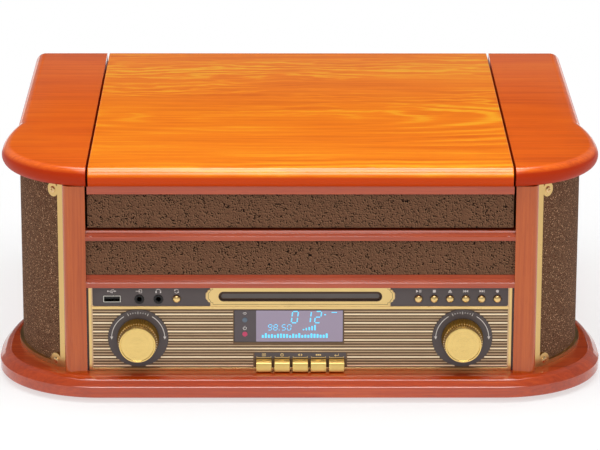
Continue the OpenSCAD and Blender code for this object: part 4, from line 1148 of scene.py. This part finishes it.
def screws(name, places, r, colour):
    """Screw heads. Each place is a point and the direction in which the head looks."""
    made, recess = bmesh.new(), bmesh.new()
    for point, out in places:
        cross_head(made, recess, Vector(point), Vector(out), r)
    heads = add_object(name, made, paint[colour], 40)
    carve(heads, add_object("cutter", recess, paint[colour]))
    return heads


def grille_screws():
    """Screws on the lobes of the brass grille frames."""
    lobe = 5.85
    places = []
    first = -math.degrees(math.acos((POST_W + HALF_W - GRILLE_X) / FRAME_R))
    for side in (-1, 1):
        for angle in (first + lobe, 30.0 - lobe):
            for z in (BASE_TOP + 4.6, CASE_TOP - 8.0):
                out = Vector((side * math.cos(math.radians(angle)), math.sin(math.radians(angle)), 0))
                places.append((Vector((side * GRILLE_X, GRILLE_Y, z)) + out * FRAME_R, out))
    stand_in(screws("screw_heads", places, 2.6, "screw"), "grille_screws")


def fastenings():
    """Screws of the back panel, the deck and the hinges, and the rings of the rear sockets."""
    back = [(x, z) for x in (-201.0, 201.0) for z in (27.0, 98.0, 169.0)]
    back += [(x, 27.0) for x in (-100.0, 0.0, 100.0)] + [(x, 132.5) for x in (-45.0, 45.0)]
    deck = [(x, y, DECK_TOP) for x in (-164.0, 164.0) for y in (-148.0, 172.0)]
    hinges = [side * 110 + dx for side in (-1, 1) for dx in (-13.0, 13.0)]
    rear, up = (0, 1, 0), (0, 0, 1)
    for name, places, r, colour, body in (
            ("back_screws", [((x, BACK_Y, z), rear) for x, z in back], 3.0, "dark_metal", "case"),
            ("deck_screws", [(point, up) for point in deck], 3.0, "dark_metal", "case"),
            ("hinge_base_screws", [((x, 191.2, 128.5), rear) for x in hinges], 2.4, "tin", "case"),
            ("hinge_lid_screws", [((x, 191.2, 152.0), rear) for x in hinges], 2.4, "tin",
             NODES["hinge_lid_leaves"]["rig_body"])):
        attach(screws(name, places, r, colour), body)
    profile = [(1.7, -4.8), (3.1, -4.8), (3.1, -5.2), (2.9, -5.35), (1.9, -5.35), (1.7, -5.2)]
    for name, x, colour in (("left_out_ring", -60.0, "white"), ("right_out_ring", -42.0, "red"),
                            ("aerial_ring", -110.0, "black")):
        made = bmesh.new()
        turned_ring(made, profile, (x, BACK_Y, 52.1), "Y", 32)
        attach(add_object(name, made, paint[colour], 30), "case")


# ---------------------------------------------------------------- colours

def striped_paint():
    """Brass sheet whose recessed field between the raised lines is painted dark and less metallic, as
    painted shade in the grooves.
    """
    f = Finish("striped sheet", metallic=1.0, roughness=0.4)
    place = f.place()
    x, _, z = f.axes(place)
    soft = 0.0001
    # painted shade: the field between the raised lines is darkened and made less metallic
    field = (1 - abs(x).above(LINES_HALF * MM, soft)) * z.above((BASE_TOP + 2.1) * MM, soft)
    field = field * (1 - z.above((STRIPED_TOP - 2.2) * MM, soft))
    marks = f.noise(f.stretched(place, (0.05, 1, 1)), 700.0, 3.0, 0.6)
    brass = f.mix(rgb(226, 196, 156), rgb(206, 172, 128), marks)
    f.feed("Base Color", f.mix(brass, f.mix(rgb(118, 92, 66), rgb(92, 70, 48), marks), field))
    f.feed("Metallic", 1 - field * 0.6)
    f.bump(marks, 0.00001, 0.6)
    return f.material


def spun_cap(name, x):
    centre = (x * MM, PANEL_Y * MM, KNOB_Z * MM)
    return turned_metal(name, rgb(238, 204, 128), centre, 1, 0.2, 0.00012)


paint = {
    # the lid and wing veneers get painted shade, partly stain, on their rounded fronts below edge
    "lid": lacquered_wood("lid veneer", rgb(218, 92, 4), rgb(250, 132, 8), rgb(255, 176, 32),
                          figure=0.34, edge=0.1868),
    "wing": lacquered_wood("wing veneer", rgb(190, 66, 2), rgb(228, 96, 4), rgb(244, 122, 14),
                           edge=0.1898),
    "post": lacquered_wood("post veneer", rgb(142, 54, 14), rgb(178, 80, 24), rgb(196, 98, 36),
                           (0, 0, 1)),
    "rail": lacquered_wood("rail veneer", rgb(134, 44, 18), rgb(168, 66, 30), rgb(190, 84, 42),
                           coat=1.6),
    "base": lacquered_wood("base veneer", rgb(140, 42, 4), rgb(176, 60, 8), rgb(204, 88, 22),
                           coat=1.65),
    "case": lacquered_wood("case veneer", rgb(96, 34, 14), rgb(140, 60, 26), rgb(170, 84, 40),
                           (0, 1, 0)),
    "board": fibre_board("chipboard", rgb(150, 116, 82)),
    "back": fibre_board("hardboard", rgb(86, 62, 44)),
    "front_cloth": speaker_cloth("strip cloth", rgb(112, 78, 58), rgb(144, 108, 80), rgb(26, 15, 11),
                                 0.0019, 0.5),
    "ear_cloth": speaker_cloth("grille cloth", rgb(106, 72, 52), rgb(158, 124, 96), rgb(40, 26, 20),
                               0.0012, 0.4, dots=0.45),
    "brass": metal("satin brass", rgb(238, 204, 138), 0.28, (0.05, 1, 1)),
    "plate": metal("slot plate brass", rgb(236, 204, 138), 0.32, (0.05, 1, 1)),
    "key": metal("gilt key", rgb(238, 204, 124), 0.3, (0.05, 1, 1), 0.000002),
    "gold": metal("gilt frame", rgb(222, 186, 122), 0.28),
    "screw": metal("gilt screw", rgb(230, 194, 140), 0.25),
    "skirt": metal("dark brass skirt", rgb(150, 112, 34), 0.4, metallic=0.7),
    "sheet": striped_paint(),
    "bright_lines": metal("bright lines", rgb(252, 232, 196), 0.3, (0.05, 1, 1)),
    "fine_lines": metal("fine lines", rgb(212, 184, 148), 0.36, (0.05, 1, 1)),
    "volume_knob_cap": spun_cap("spun cap", -KNOB_X),
    "tuning_knob_cap": spun_cap("spun cap right", KNOB_X),
    # dark brown for the engraved line, and painted shadow round the disc slot and the tray's front
    "dark_brown": ink("dark brown inlay and painted shadow", rgb(74, 48, 26)),
    "white_ink": ink("white print", rgb(224, 218, 212)),
    "screen_frame": plastic("screen surround", rgb(84, 74, 76), 0.15, 300.0, 0.000004),
    "screen": glowing("lit screen", rgb(144, 132, 150), 0.25),
    "cyan": glowing("cyan segments", rgb(92, 196, 236), 0.75),
    "sensor": plastic("sensor lens", rgb(98, 112, 126), 0.12, 300.0, 0.000004),
    "power_lamp": glowing("power lamp", rgb(176, 60, 92), 0.25),
    "steel": metal("bright steel", rgb(196, 196, 198), 0.25),
    "tin": metal("plated sheet steel", rgb(168, 168, 166), 0.42),
    "dark_metal": metal("blackened steel", rgb(70, 68, 68), 0.45),
    "aluminium": metal("spun aluminium", rgb(214, 214, 216), 0.32),
    "platter": turned_metal("spun platter", rgb(206, 206, 208), [v * MM for v in PLATTER], 2, 0.25,
                            0.00003),
    "arm": metal("polished arm", rgb(204, 204, 206), 0.2, (1, 0.05, 1)),
    # dark red for the painted shade in the seam beside the lid
    "seam_shade": fibre_board("seam_shade", rgb(96, 24, 10)),
    "red": plastic("red plastic", rgb(176, 40, 34), 0.35),
    "rubber": plastic("rubber", rgb(34, 33, 33), 0.75, 1500.0, 0.00005),
    "paper": fibre_board("cone paper", rgb(44, 42, 42)),
    "black": plastic("black plastic", rgb(30, 29, 30), 0.45),
    "deck": plastic("deck plastic", rgb(24, 23, 24), 0.38, 1500.0, 0.00006),
    "panel": plastic("panel plastic", rgb(84, 74, 73), 0.42, 1800.0, 0.00004),
    "tray": plastic("tray plastic", rgb(92, 84, 80), 0.4),
    "white": plastic("white plastic", rgb(214, 212, 206), 0.4),
    "pcb": circuit_board("circuit board"),
    "socket": metal("nickel", rgb(200, 196, 186), 0.25),
    "dark_hole": plastic("socket inside", rgb(22, 20, 20), 0.6),
}

NODE_PAINT = {
    name: paint[colour] for colour, names in {
        "base": "base_plate",
        "rubber": "rubber_feet platter_mat drive_belt",
        "wing": "wing_boards",
        "post": "front_posts",
        "rail": "fascia_rails lid_frame",
        "case": "side_panels",
        "board": "partition_walls speaker_baffles fascia_cloth lid_cloth speaker_grilles",
        "back": "back_panel",
        "gold": "grille_trims panel_trim",
        "screw": "grille_screws",
        "lid": "lid_board",
        "paper": "speaker_cones",
        "tin": "speaker_drivers hinge_base_leaves hinge_lid_leaves drive_motor power_transformer "
               "disc_frame",
        "steel": "hinge_pins centre_spindle motor_pulley",
        "deck": "deck_plate",
        "platter": "platter",
        "arm": "tonearm",
        "aluminium": "speed_switch",
        "black": "tonearm_base tonearm_yoke cartridge arm_rest disc_hub",
        "panel": "control_panel dial_plates",
        "screen_frame": "display_window",
        "socket": "front_sockets rear_sockets rotary_controls",
        "brass": "volume_knob tuning_knob function_button play_button stop_button open_button "
                 "skip_back_button skip_on_button record_button key_1 key_2 key_3 key_4 key_5",
        "tray": "disc_tray",
        "pcb": "circuit_boards",
    }.items() for name in names.split()
}


# ---------------------------------------------------------------- building

for name, thing in NODES.items():
    thing.data.materials.clear()
    thing.data.materials.append(NODE_PAINT[name])

wing_boards()
base_board()
cloth_strip("lid_strip", "lid_cloth", LID_BOTTOM, LID_CLOTH_TOP, LID_HALF, -174.4)
cloth_strip("fascia_strip", "fascia_cloth", LOWER_RAIL_TOP, CLOTH_TOP, HALF_W, -165.6)
speaker_covers()
striped_sheet()
raised_lines("bright_lines", range(0, 20, 3), 1.25, 0.4)
raised_lines("fine_lines", [i for i in range(20) if i % 3], 0.75, 0.2)
border_strips()
slot_plate()
knob("volume_knob", -KNOB_X)
knob("tuning_knob", KNOB_X)
dial_print()
display()
pictograms()
key_strip()
sockets()
bar_keys()
tray_edge_shadow()
grooved_mat()
arm_pieces()
deck_print()
grille_screws()
fastenings()
front_rails()
seam_strips()
soften(smooth_copy("lid_board"), 0.0006, 3, 60)
for name in ("front_posts lid_frame grille_trims dial_plates platter centre_spindle tonearm_yoke "
             "tonearm_base motor_pulley drive_motor rubber_feet speaker_cones speaker_drivers "
             "hinge_pins rear_sockets rotary_controls disc_hub disc_tray drive_belt function_button "
             "play_button stop_button open_button skip_back_button skip_on_button "
             "record_button").split():
    smooth_copy(name)

bpy.context.scene.view_settings.view_transform = "Standard"
make_camera()
make_studio()
make_floor()
